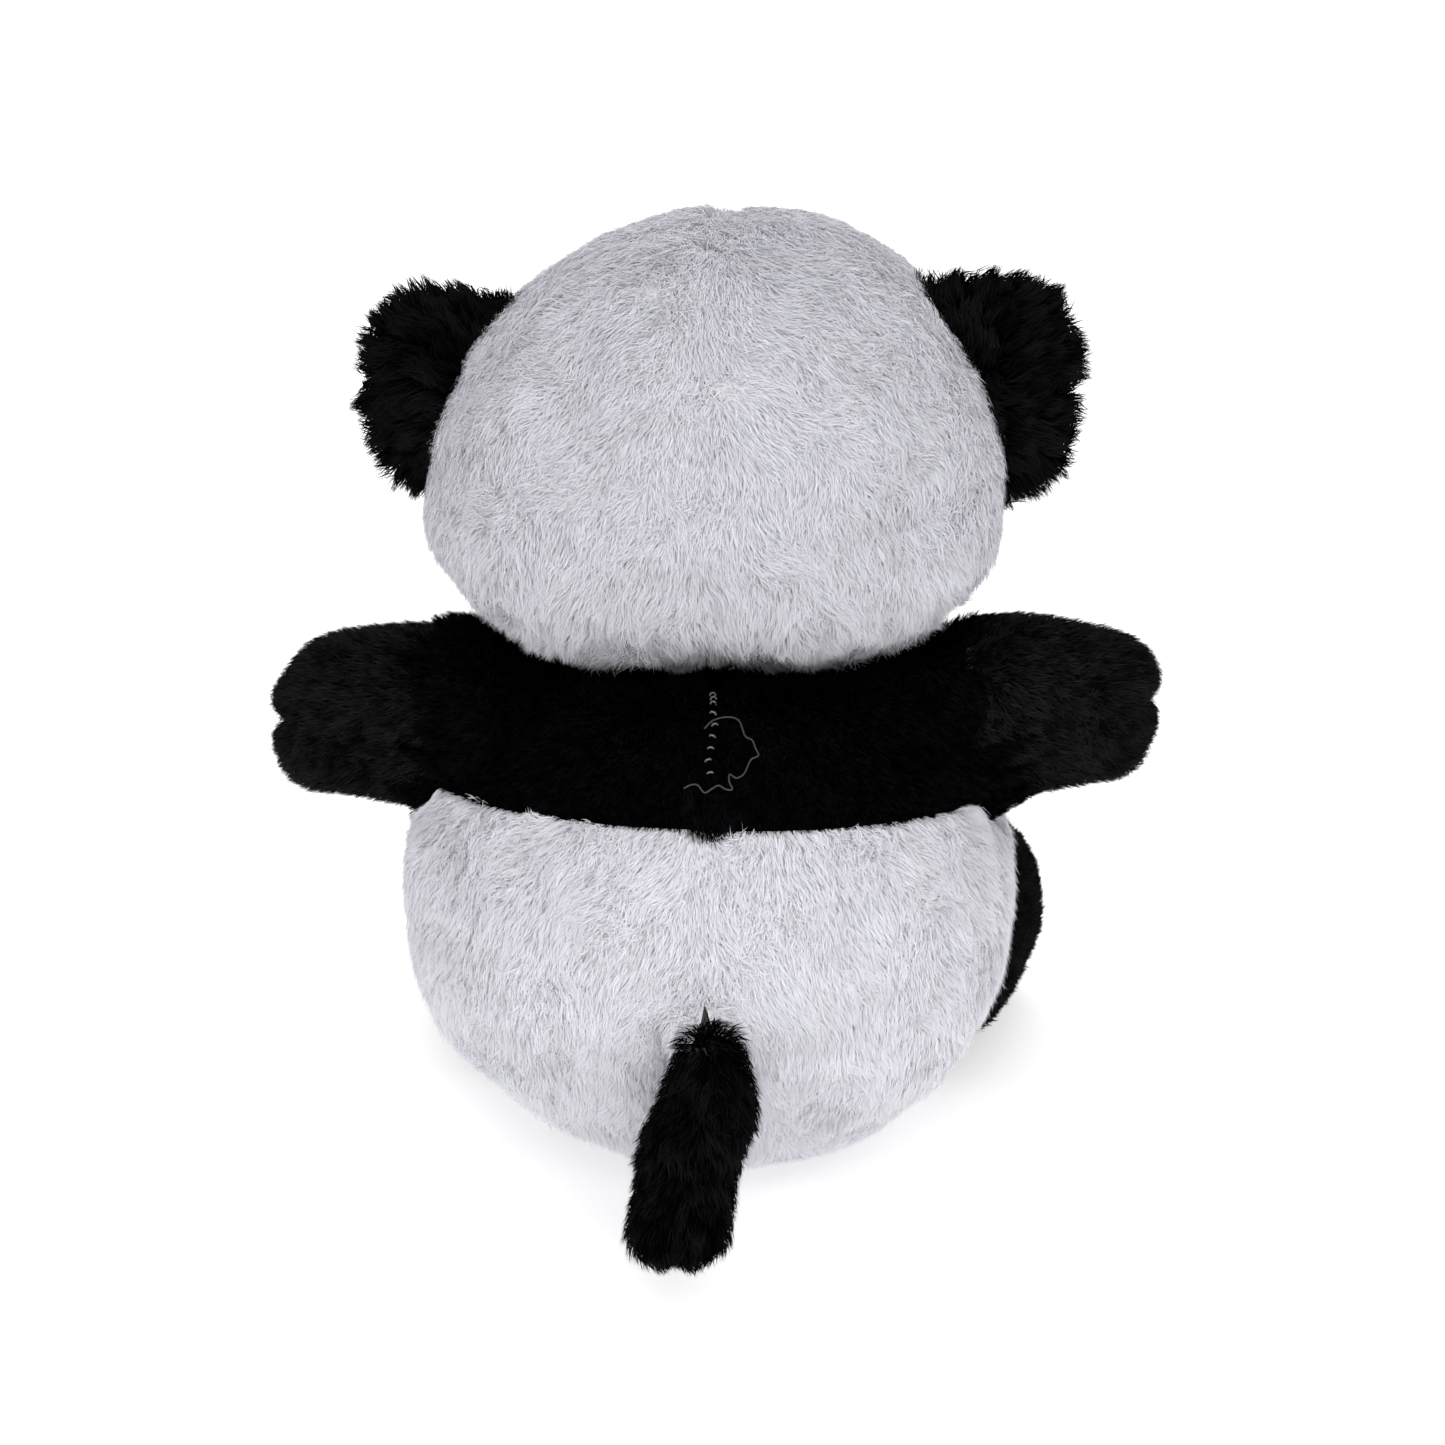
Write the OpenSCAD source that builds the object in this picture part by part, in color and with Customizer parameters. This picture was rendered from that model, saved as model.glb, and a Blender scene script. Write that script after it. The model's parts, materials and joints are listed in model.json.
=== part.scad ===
// Seated plush panda, stuffed, with a ball body, a wide round head and short soft limbs.
// +Z is up, the face looks along -Y, and the panda's left is +X.
// The origin is the middle of the flat seat, on the surface that the panda sits on.

/* [Body] */
// Radius of the stuffed body ball, with the pile pressed flat
body_r = 95; // [92:1:98]
// Height of the ball that the flat seat cuts away
seat_cut = 11; // [9:1:13]
// Forward lean of the body's seams and neck, in degrees
lean = 11; // [8:1:13]
// Height of the black band's lower seam over the ball's centre, along the leaning axis
band_low = 30; // [26:1:34]
// Height of the neck opening over the ball's centre, along the leaning axis
band_high = 61; // [59:1:61]
// Thickness of a plush panel, backing and pressed pile
panel_t = 6; // [4:0.5:7]

/* [Head] */
// Radius of the head, front to back and top to bottom
head_r = 72; // [70:1:74]
// Half of the straight stretch that makes the head wider than it is high
head_c = 12; // [8:1:14]
// How far the head sits in front of the body's centre
head_forward = 16; // [14:1:18]
// Radius of the soft neck
neck_r = 20; // [17:1:21]

/* [Ears] */
// Radius of an ear's outline
ear_r = 34; // [30:1:36]
// Thickness of one ear panel at its middle
ear_t = 6; // [4:0.5:7]

/* [Arms] */
// Radius of an arm
arm_r = 28; // [25:1:28]
// Distance from the shoulder to the middle of the round paw
arm_len = 18; // [14:1:26]

/* [Legs] */
// Radius of a leg at the hip
leg_r = 27; // [24:1:28]
// Radius of the round foot
foot_r = 34; // [32:1:34]

/* [Tail] */
// Radius of the tail where it leaves the rump
tail_root_r = 12; // [10:0.5:13]
// Radius of the tail's round tip
tail_tip_r = 16.5; // [14:0.5:17]
// Length from the root to the middle of the round tip
tail_len = 47; // [40:1:49]

/* [Face] */
// Radius of the round muzzle
muzzle_r = 27; // [24:1:29]
// Radius of a plastic eye
eye_r = 6.5; // [5:0.5:7.5]
// Radius of the plastic nose
nose_r = 8.5; // [7:0.5:10]

/* [Hidden] */
$fn = 96;
LEFT = 1;
RIGHT = -1;
SIDES = [LEFT, RIGHT];

// Colours: white and black plush, fibre filling, plastic and thread
WHITE = [0.92, 0.92, 0.95];
BLACK = [0.05, 0.05, 0.06];
ARM_BLACK = [0.13, 0.13, 0.14];
FILL = [0.97, 0.96, 0.92];
PLASTIC = [0.02, 0.02, 0.02];
WASHER = [0.85, 0.86, 0.88];
THREAD = [0.62, 0.62, 0.66];

far = 400;            // larger than the whole panda, for half-space cuts
fill_gap = 0.2;       // filling to panel, inside one limb
dish_gap = 3;         // arm or tail root to the dish it turns in
hip_gap = 6;          // the same at a hip, where the thigh lifts towards the belly
stitch_r = 0.7;       // thread round a limb's root, drawn thick enough to see
seat_t = 6;           // height of the seat panel's slice of the ball

// Places
body_z = body_r - seat_cut;
body_at = [0, 0, body_z];
head_gap = 7.2;       // head over the middle of the neck opening, for the nod
neck_plane_z = body_z + band_high * cos(lean);
head_at = [0, -head_forward, neck_plane_z + head_r + head_gap];
neck_at = [0, -head_forward + 2, head_at.z - 49];
neck_bottom_z = neck_at.z - 40;
head_seam = -2;       // the seam over the head's crown, from its centre
shoulder = [body_r - 3, -8, body_z + 55];
hip = [body_r - 29, 29 - body_r, foot_r + 0.5];
leg_len = 42;         // from the hip to the middle of the round foot
leg_yaw = 8;          // the legs point outwards by this angle
sole_out = 30;        // the flat sole, from the middle of the foot
sole_t = 5;
tail_at = [0, body_r + 10, body_z - 10];
tail_tilt = 10;       // the tail hangs out from the rump by this angle
ear_at = [66 + head_c, head_seam, 18];
ear_gap = 3.6;        // ear base to head
muzzle_at = head_at + [0, 14 - head_r, -20];
eye_yaw = 17;
eye_pitch = 8;
eye_shank_r = 2.2;
patch_t = 3;
patch_r = 14.5;       // half the width of the oval eye patch
patch_top = 3;        // the middles of its round ends, from the eye
patch_low = -10;
washer_r = 8;
nose_washer_r = 5.5;
nose_pitch = 26;

// The thread that hangs out of the closing seam: sideways place and height over the body's
// centre, along the leaning axis. The thread lies on the band, so its depth follows the ball.
THREAD_D = 0.5;
THREAD_LIFT = 0.75;
THREAD_ROUTE = [
    [-2, 61], [-4, 63], [-7, 64], [-10, 64], [-12, 63], [-13, 61], [-14, 59], [-16, 58],
    [-17, 56], [-18, 54], [-16, 53], [-15, 51], [-14, 49], [-12, 48], [-10, 49], [-10, 47],
    [-11, 45], [-9, 45], [-7, 46], [-5, 45], [-3, 44], [-1, 46], [1, 46], [3, 45]];

// ---------- shared shapes ----------

// Everything on one side of the middle plane
module half(side)
    translate([side > 0 ? 0 : -far, -far, -far]) cube([far, 2 * far, 2 * far]);

// Everything above a height
module above(z)
    translate([-far, -far, z]) cube([2 * far, 2 * far, far]);

// Everything in front of a depth, which is towards -Y
module ahead(y)
    translate([-far, y - 2 * far, -far]) cube([2 * far, 2 * far, 2 * far]);

// The body's leaning frame, with its origin at the ball's centre
module body_frame()
    translate(body_at) rotate([lean, 0, 0]) children();

module on_side(side, at)
    translate([side * at.x, at.y, at.z]) children();

// A round-ended bar from the origin along +Z
module round_bar(r, length) {
    sphere(r);
    cylinder(h = length, r = r);
    translate([0, 0, length]) sphere(r);
}

// A thread ring that lies on a ball of radius r, at an angle from the ball's -Z pole
module stitch_ring(r, angle)
    translate([0, 0, -r * cos(angle)])
        rotate_extrude() translate([r * sin(angle), 0]) circle(stitch_r, $fn = 24);

// ---------- body ----------

module body_ball(inset)
    translate(body_at) rotate([0, 0, 45]) sphere(body_r - inset);

// The hollows that the limbs' round roots turn in
module limb_dishes() {
    for (side = SIDES) {
        on_side(side, shoulder) sphere(arm_r + dish_gap);
        on_side(side, hip) sphere(leg_r + hip_gap);
    }
    translate(tail_at) sphere(tail_root_r + dish_gap);
}

// A stretch of the body's cover between two heights on the leaning axis
module body_cover(low, high)
    difference() {
        intersection() {
            body_ball(0);
            body_frame() translate([-far, -far, low]) cube([2 * far, 2 * far, high - low]);
            above(seat_t);
        }
        body_ball(panel_t);
        limb_dishes();
    }

module rump_panel(side)
    color(WHITE) intersection() {
        difference() {
            body_cover(-far, band_low);
            ahead(0);
        }
        half(side);
    }

module belly_panel()
    color(WHITE) intersection() {
        body_cover(-far, band_low);
        ahead(0);
    }

module seat_panel()
    color(WHITE) difference() {
        body_ball(0);
        above(seat_t);
        translate([0, 0, -far]) cube(2 * far, center = true);
    }

module band_back(side)
    color(BLACK) intersection() {
        difference() {
            body_cover(band_low, band_high);
            ahead(0);
        }
        half(side);
    }

module chest_panel()
    color(BLACK) intersection() {
        body_cover(band_low, band_high);
        ahead(0);
    }

module body_stuffing()
    color(FILL) difference() {
        intersection() {
            body_ball(panel_t + fill_gap);
            above(seat_t + fill_gap);
            body_frame() translate([0, 0, band_high - far - 1]) cube(2 * far, center = true);
        }
        limb_dishes();
        translate([0, neck_at.y, neck_bottom_z]) cylinder(h = far, r = neck_r + 0.5);
    }

// Ladder stitches that close the back seam of the band, one rung above the other
module closing_stitches()
    color(THREAD)
        for (rung = [0 : 8])
            body_frame() rotate([30 + 1.4 * rung, 0, 0])
                translate([0, body_r + 0.5, 0]) rotate([0, 90, 0])
                    cylinder(h = 4.2, r = 0.4, center = true);

// ---------- loose thread ----------

// One point of the thread, on the ball just clear of the band
function thread_point(p) =
    let (r = body_r + THREAD_LIFT) [p[0], sqrt(r * r - p[0] * p[0] - p[1] * p[1]), p[1]];

// A smooth curve through the route, a fixed number of steps to each stretch
function blend4(a, b, c, d, t) =
    0.5 * ((2 * b) + (c - a) * t + (2 * a - 5 * b + 4 * c - d) * t * t
        + (3 * b - a - 3 * c + d) * t * t * t);
function smooth_route(route, steps) =
    let (last = len(route) - 1)
    [for (i = [0 : last - 1], s = [0 : steps - 1])
        thread_point(blend4(route[max(i - 1, 0)], route[i], route[i + 1],
            route[min(i + 2, last)], s / steps)),
     thread_point(route[last])];
function unit(v) = v / norm(v);

// A tube of round section swept along a list of points
module swept_tube(path, r, sides = 8) {
    last = len(path) - 1;
    along = [for (i = [0 : last]) unit(path[min(i + 1, last)] - path[max(i - 1, 0)])];
    rings = [for (i = [0 : last])
        let (out = unit(path[i]), across = unit(cross(along[i], out)), up = cross(across, along[i]))
        for (k = [0 : sides - 1])
            path[i] + r * (cos(360 * k / sides) * across + sin(360 * k / sides) * up)];
    walls = [for (i = [0 : last - 1], k = [0 : sides - 1])
        let (a = i * sides + k, b = i * sides + (k + 1) % sides)
        [a, b, b + sides, a + sides]];
    first_cap = [[for (k = [sides - 1 : -1 : 0]) k]];
    last_cap = [[for (k = [0 : sides - 1]) last * sides + k]];
    polyhedron(points = rings, faces = concat(first_cap, walls, last_cap));
}

module loose_thread()
    color(THREAD) body_frame() swept_tube(smooth_route(THREAD_ROUTE, 4), THREAD_D / 2);

// ---------- head ----------

module head_form(inset)
    translate(head_at) union() {
        for (side = SIDES) translate([side * head_c, 0, 0]) sphere(head_r - inset);
        rotate([0, 90, 0]) cylinder(h = 2 * head_c, r = head_r - inset, center = true);
    }

// The room that the neck needs in the head, with the nod's swing
module neck_room() {
    translate(neck_at) sphere(neck_r + 2.5);
    translate(neck_at - [0, 0, 42]) cylinder(h = 42, r1 = neck_r + 11, r2 = neck_r + 1.5);
}

// The line from the head's middle out through an eye, which is the frame's -Y axis
module eye_frame(side)
    translate(head_at + [side * head_c, 0, 0]) rotate([-eye_pitch, 0, side * eye_yaw]) children();

module eye_shank(side, clearance)
    eye_frame(side) translate([0, 8 - head_r, 0]) rotate([90, 0, 0])
        cylinder(h = 8 + patch_t + 1, r = eye_shank_r + clearance, $fn = 32);

module head_cover()
    difference() {
        head_form(0);
        head_form(panel_t);
        neck_room();
        for (side = SIDES) eye_shank(side, 0.2);
    }

module head_back(side)
    color(WHITE) difference() {
        intersection() {
            head_cover();
            half(side);
        }
        ahead(head_at.y + head_seam);
    }

module face_panel(side)
    color(WHITE) intersection() {
        head_cover();
        half(side);
        ahead(head_at.y + head_seam);
    }

module head_stuffing()
    color(FILL) difference() {
        head_form(panel_t + fill_gap);
        neck_room();
        for (side = SIDES) eye_frame(side) translate([0, 11 - head_r, 0]) rotate([90, 0, 0])
            cylinder(h = 12, r = washer_r + 0.5);
    }

module neck_stuffing()
    color(FILL) {
        translate(neck_at) sphere(neck_r + 2);
        translate([0, neck_at.y, neck_bottom_z + 0.5])
            cylinder(h = neck_at.z - neck_bottom_z, r = neck_r);
    }

module neck_stitching()
    color(THREAD) body_frame() translate([0, 0, band_high + stitch_r])
        rotate_extrude() translate([44, 0]) circle(stitch_r, $fn = 24);

// ---------- face ----------

module muzzle_ball(inset)
    translate(muzzle_at) sphere(muzzle_r - inset);

module nose_frame()
    translate(muzzle_at) rotate([90 - nose_pitch, 0, 0]) children();

module muzzle()
    color(WHITE) difference() {
        muzzle_ball(0);
        muzzle_ball(panel_t);
        head_form(-0.2);
        nose_frame() cylinder(h = far, r = eye_shank_r + 0.2, $fn = 32);
    }

module muzzle_stuffing()
    color(FILL) difference() {
        muzzle_ball(panel_t + fill_gap);
        head_form(-0.2);
        nose_frame() translate([0, 0, muzzle_r - panel_t - 4]) cylinder(h = 12, r = washer_r);
    }

// A dome with a shank behind it, standing on +Z at height z
module stud(r, rise, z, shank) {
    intersection() {
        translate([0, 0, z + rise - r * 1.15]) sphere(r * 1.15);
        translate([0, 0, z]) cylinder(h = r * 3, r = r);
    }
    translate([0, 0, z - shank]) cylinder(h = shank + 0.5, r = eye_shank_r, $fn = 32);
}

module nose()
    color(PLASTIC) nose_frame() stud(nose_r, 6, muzzle_r + 0.2, 10);

module nose_washer()
    color(WASHER) nose_frame() translate([0, 0, muzzle_r - panel_t - 2.5]) difference() {
        cylinder(h = 1.6, r = nose_washer_r);
        translate([0, 0, -1]) cylinder(h = 4, r = eye_shank_r + 0.05, $fn = 32);
    }

// The stitched line under the nose and the two curves of the mouth
module mouth_thread() {
    r = muzzle_r + stitch_r + 0.1;
    smile = 26;
    color(BLACK) {
        translate(muzzle_at) rotate([0, 0, -90]) rotate([90, 0, 0])
            rotate([0, 0, -12]) rotate_extrude(angle = 18)
                translate([r, 0]) circle(stitch_r, $fn = 24);
        for (side = SIDES)
            translate(muzzle_at) rotate([96, 0, side * smile]) translate([0, 0, r * cos(smile)])
                rotate([0, 0, side > 0 ? 206 : 254]) rotate_extrude(angle = 80)
                    translate([r * sin(smile), 0]) circle(stitch_r, $fn = 24);
    }
}

// A drooping oval patch of black plush under each eye
module eye_patch(side)
    color(BLACK) difference() {
        intersection() {
            head_form(-patch_t);
            eye_frame(side) rotate([90, 0, 0]) rotate([0, 0, side * -32]) union() {
                translate([0, patch_top, 0]) cylinder(h = far, r = patch_r);
                translate([0, patch_low, 0]) cylinder(h = far, r = patch_r);
                translate([-patch_r, patch_low, 0])
                    cube([2 * patch_r, patch_top - patch_low, far]);
            }
        }
        head_form(-0.2);
        eye_shank(side, 0.2);
        muzzle_ball(-0.5);
    }

module eye(side)
    color(PLASTIC) eye_frame(side) rotate([90, 0, 0]) stud(eye_r, 4, head_r + patch_t + 0.2, 13);

module eye_washer(side)
    color(WASHER) eye_frame(side) translate([0, panel_t + 2.8 - head_r, 0]) rotate([90, 0, 0])
        difference() {
            cylinder(h = 2, r = washer_r);
            translate([0, 0, -1]) cylinder(h = 4, r = eye_shank_r + 0.05, $fn = 32);
        }

// ---------- ears ----------

// One of an ear's two layers: a shallow dome, back towards +Y or front towards -Y
module ear_panel(side, facing) {
    dome_r = (ear_r * ear_r + ear_t * ear_t) / (2 * ear_t);
    color(BLACK) difference() {
        translate(head_at) on_side(side, ear_at) intersection() {
            translate([0, facing * (ear_t - dome_r), 0]) sphere(dome_r, $fn = 160);
            translate([-far, facing > 0 ? 0 : -far, -far]) cube([2 * far, far, 2 * far]);
        }
        head_form(-ear_gap);
    }
}

// ---------- arms ----------

module arm_form(side, inset)
    on_side(side, shoulder) rotate([0, side * 90, 0]) round_bar(arm_r - inset, arm_len);

module arm_cover(side)
    difference() {
        arm_form(side, 0);
        arm_form(side, panel_t);
    }

module arm_top(side)
    color(ARM_BLACK) intersection() {
        arm_cover(side);
        above(shoulder.z);
    }

module arm_under(side)
    color(ARM_BLACK) difference() {
        arm_cover(side);
        above(shoulder.z);
    }

module arm_stuffing(side)
    color(FILL) arm_form(side, panel_t + fill_gap);

module arm_stitching(side)
    color(BLACK) on_side(side, shoulder) rotate([0, side * 90, 0])
        stitch_ring(arm_r + dish_gap / 2, 50);

// ---------- legs ----------

// The line of a leg, which is the frame's +Z axis, out from the hip
module leg_frame(side)
    on_side(side, hip) rotate([90, 0, side * leg_yaw]) children();

// A leg: the round hip, the thigh and the round foot, cut flat where the sole goes on
module leg_form(side, inset)
    leg_frame(side) difference() {
        union() {
            sphere(leg_r - inset);
            cylinder(h = leg_len, r = leg_r - inset);
            translate([0, 0, leg_len]) sphere(foot_r - inset);
        }
        above(leg_len + sole_out - sole_t);
    }

module leg_cover(side)
    difference() {
        leg_form(side, 0);
        leg_form(side, panel_t);
    }

module leg_outer(side)
    color(BLACK) intersection() {
        leg_cover(side);
        leg_frame(side) half(side);
    }

module leg_inner(side)
    color(BLACK) difference() {
        leg_cover(side);
        leg_frame(side) half(side);
    }

module sole(side)
    color(BLACK) leg_frame(side) translate([0, 0, leg_len]) intersection() {
        sphere(foot_r);
        translate([0, 0, sole_out - sole_t]) cylinder(h = sole_t, r = foot_r);
    }

module leg_stuffing(side)
    color(FILL) leg_form(side, panel_t + fill_gap);

module leg_stitching(side)
    color(BLACK) leg_frame(side) stitch_ring(leg_r + dish_gap / 2, 50);

// ---------- tail ----------

// The tail hangs from its root along the frame's +Z, slim at the root and full at the tip
module tail_frame()
    translate(tail_at) rotate([180 + tail_tilt, 0, 0]) children();

module tail_form(inset)
    tail_frame() {
        sphere(tail_root_r - inset);
        cylinder(h = tail_len, r1 = tail_root_r - inset, r2 = tail_tip_r - inset);
        translate([0, 0, tail_len]) sphere(tail_tip_r - inset);
    }

module tail_panel(side)
    color(BLACK) intersection() {
        difference() {
            tail_form(0);
            tail_form(3);
        }
        half(side);
    }

module tail_stuffing()
    color(FILL) tail_form(3 + fill_gap);

module tail_stitching()
    color(BLACK) tail_frame() stitch_ring(tail_root_r + dish_gap / 2, 70);

// ---------- nodes ----------

rump_panel(LEFT);  // rump_left_panel
rump_panel(RIGHT);  // rump_right_panel
belly_panel();
seat_panel();
band_back(LEFT);  // band_back_left
band_back(RIGHT);  // band_back_right
chest_panel();
body_stuffing();
closing_stitches();
loose_thread();
head_back(LEFT);  // head_back_left
head_back(RIGHT);  // head_back_right
face_panel(LEFT);  // face_left
face_panel(RIGHT);  // face_right
head_stuffing();
muzzle();
muzzle_stuffing();
mouth_thread();
nose();
nose_washer();
eye_patch(LEFT);  // left_eye_patch
eye_patch(RIGHT);  // right_eye_patch
eye(LEFT);  // left_eye
eye(RIGHT);  // right_eye
eye_washer(LEFT);  // left_eye_washer
eye_washer(RIGHT);  // right_eye_washer
ear_panel(LEFT, -1);  // left_ear_front
ear_panel(LEFT, 1);  // left_ear_back
ear_panel(RIGHT, -1);  // right_ear_front
ear_panel(RIGHT, 1);  // right_ear_back
neck_stuffing();
neck_stitching();
arm_top(LEFT);  // left_arm_top
arm_under(LEFT);  // left_arm_under
arm_stuffing(LEFT);  // left_arm_stuffing
arm_stitching(LEFT);  // left_arm_stitching
arm_top(RIGHT);  // right_arm_top
arm_under(RIGHT);  // right_arm_under
arm_stuffing(RIGHT);  // right_arm_stuffing
arm_stitching(RIGHT);  // right_arm_stitching
leg_outer(LEFT);  // left_leg_outer
leg_inner(LEFT);  // left_leg_inner
sole(LEFT);  // left_sole
leg_stuffing(LEFT);  // left_leg_stuffing
leg_stitching(LEFT);  // left_leg_stitching
leg_outer(RIGHT);  // right_leg_outer
leg_inner(RIGHT);  // right_leg_inner
sole(RIGHT);  // right_sole
leg_stuffing(RIGHT);  // right_leg_stuffing
leg_stitching(RIGHT);  // right_leg_stitching
tail_panel(LEFT);  // tail_left
tail_panel(RIGHT);  // tail_right
tail_stuffing();
tail_stitching();
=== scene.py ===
import json
import math

import bmesh
import bpy
import numpy as np
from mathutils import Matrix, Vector, kdtree


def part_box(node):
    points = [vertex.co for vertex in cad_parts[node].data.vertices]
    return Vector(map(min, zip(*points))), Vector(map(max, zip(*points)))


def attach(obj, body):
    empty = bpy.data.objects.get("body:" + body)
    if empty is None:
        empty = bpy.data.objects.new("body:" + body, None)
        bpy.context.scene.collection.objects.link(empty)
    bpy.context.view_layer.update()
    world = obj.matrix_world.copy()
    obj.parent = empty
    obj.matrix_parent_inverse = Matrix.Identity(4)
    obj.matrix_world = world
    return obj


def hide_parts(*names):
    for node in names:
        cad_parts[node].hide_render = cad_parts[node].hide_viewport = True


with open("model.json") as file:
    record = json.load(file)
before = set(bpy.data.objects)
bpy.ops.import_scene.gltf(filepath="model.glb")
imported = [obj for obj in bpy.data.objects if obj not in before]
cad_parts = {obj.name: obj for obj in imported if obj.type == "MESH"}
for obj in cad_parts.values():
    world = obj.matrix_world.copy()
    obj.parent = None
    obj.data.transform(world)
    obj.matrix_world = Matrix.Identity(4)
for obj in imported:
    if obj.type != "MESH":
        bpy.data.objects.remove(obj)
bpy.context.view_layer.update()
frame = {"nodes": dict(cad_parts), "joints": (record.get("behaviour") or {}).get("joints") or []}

MM = 0.001
X, Y, Z = np.eye(3)
SIDES = {"left": 1, "right": -1}
JOINTS = {joint["name"]: joint for joint in frame["joints"]}


def pivot(joint):
    return np.array(JOINTS[joint]["pos_m"], float)


def corners(node):
    low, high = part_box(node)
    return np.array(low), np.array(high)


# ---------------------------------------------------------------- places, from the frame

BODY_R = corners("belly_panel")[1][0]
SEAT_T = corners("seat_panel")[1][2]
SEAT_R = corners("seat_panel")[1][0]
BODY_Z = SEAT_T + math.sqrt(BODY_R**2 - SEAT_R**2)
BODY_AT = np.array([0, 0, BODY_Z])
LEAN = math.radians(11)
BODY_UP = np.array([0, -math.sin(LEAN), math.cos(LEAN)])
BODY_BACK = np.array([0, math.cos(LEAN), math.sin(LEAN)])
BAND_LOW = 30 * MM
NECK_HIGH = 61 * MM

HEAD_R = 72 * MM
HEAD_C = corners("head_back_left")[1][0] - HEAD_R
HEAD_AT = corners("head_back_left")[1] - np.array([HEAD_R + HEAD_C, HEAD_R, HEAD_R])
HEAD_SEAM = corners("head_back_left")[0][1]
SHOULDER = pivot("left_arm_raise")
ARM_R = 28 * MM
ARM_TIP = corners("left_arm_top")[1][0]
HIP = pivot("left_leg_lift")
LEG_LEN = 42 * MM
LEG_YAW = math.radians(8)
FOOT_R = HIP[2] - 0.5 * MM
SOLE_OUT = 30 * MM
TAIL_ROOT = pivot("tail_lift")
TAIL_TILT = math.radians(10)
TAIL_LEN = 47 * MM
TAIL_TIP_R = 16.5 * MM
NECK = pivot("head_turn")
MUZZLE_R = 27 * MM
MUZZLE_AT = HEAD_AT + np.array([0, 14 * MM - HEAD_R, -20 * MM])
EAR_R = 34 * MM
EYE_YAW, EYE_PITCH = math.radians(17), math.radians(8)

SKIN_T = 1.6 * MM      # thickness of the knitted backing
SWIRLS = 11            # seed of the swirls that run through all the pile


# ---------------------------------------------------------------- small geometry helpers

def unit(v):
    v = np.asarray(v, float)
    return v / np.maximum(np.linalg.norm(v, axis=-1, keepdims=True), 1e-12)


def smooth(t):
    t = np.clip(t, 0, 1)
    return t * t * (3 - 2 * t)


def mirrored(v, side):
    return np.asarray(v, float) * np.array([side, 1, 1])


def swell(p, scale, seed):
    """Soft, repeatable lumps between about -1 and 1 at points p, a few to each stretch of scale."""
    waves = np.random.default_rng(seed)
    total = np.zeros(len(p))
    for _ in range(7):
        total += np.sin(p @ (unit(waves.normal(size=3)) * 2 * math.pi / scale)
                        + waves.uniform(0, 2 * math.pi))
    return total / 3.5


def drift(p, scale, seed):
    """A soft random direction field."""
    return np.stack([swell(p, scale, seed + k) for k in range(3)], 1)


def near_ball(centre, radius):
    return lambda p: np.linalg.norm(p - centre, axis=1) < radius


def reach_out(points, centre, ball_at, ball_r, blend):
    """Carries a skin round a centre out into a collar that runs smoothly onto a limb's ball."""
    rest = points - centre
    own = np.linalg.norm(rest, axis=1)
    out = rest / own[:, None]
    best = own.copy()
    for step in np.arange(0, 50 * MM, 0.25 * MM):
        far = own + step
        ball = np.linalg.norm(centre + out * far[:, None] - ball_at, axis=1) - ball_r
        soft = np.maximum(blend - np.abs(step - ball), 0)
        best = np.where(np.minimum(step, ball) < soft**2 / (4 * blend), far, best)
    return centre + out * best[:, None]


def dent(points, ball_at, ball_r):
    """Pushes points out of a ball, so that a dish is left for a limb's round root."""
    rest = points - ball_at
    far = np.linalg.norm(rest, axis=1, keepdims=True)
    return np.where(far < ball_r, ball_at + unit(rest) * ball_r, points)


def tangent(v, n):
    """The part of v that lies along the surface with normals n."""
    return unit(v - n * np.sum(v * n, 1, keepdims=True))


# ---------------------------------------------------------------- forms: closed skins cut into panels

class Form:
    """A closed skin of triangles. Every triangle belongs to a panel, told by its number."""

    def __init__(self, directions, tris, panel):
        self.directions, self.tris, self.panel = directions, tris, panel
        self.points = directions.copy()

    def normals(self):
        a, b, c = (self.points[self.tris[:, k]] for k in range(3))
        face = np.cross(b - a, c - a)
        total = np.zeros_like(self.points)
        for k in range(3):
            np.add.at(total, self.tris[:, k], face)
        return unit(total)


def cut_ball(level, cuts, sorter):
    """A unit ball of triangles with edges along the cuts, which are planes (normal, offset).
    sorter gives each triangle's panel from its middle."""
    bm = bmesh.new()
    bmesh.ops.create_icosphere(bm, subdivisions=level, radius=1)
    for normal, offset in cuts:
        bmesh.ops.bisect_plane(
            bm, geom=bm.verts[:] + bm.edges[:] + bm.faces[:], dist=1e-4,
            plane_co=Vector(normal) * offset, plane_no=Vector(normal))
    bmesh.ops.triangulate(bm, faces=bm.faces[:])
    bm.verts.index_update()
    points = np.array([v.co[:] for v in bm.verts])
    tris = np.array([[v.index for v in f.verts] for f in bm.faces])
    bm.free()
    middle = points[tris].mean(1)
    return Form(unit(points), tris, sorter(middle))


def groove(form, distance, depth, width):
    """Draws the skin in along a seam, where distance says how far each point is from it."""
    pull = depth * np.exp(-(distance / width) ** 2)
    form.points -= form.normals() * pull[:, None]


SEAM_HELD = 2.5 * MM   # skin nearer to a seam than this is held still by the cloth
CLOTH_STEPS = 16


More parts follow.
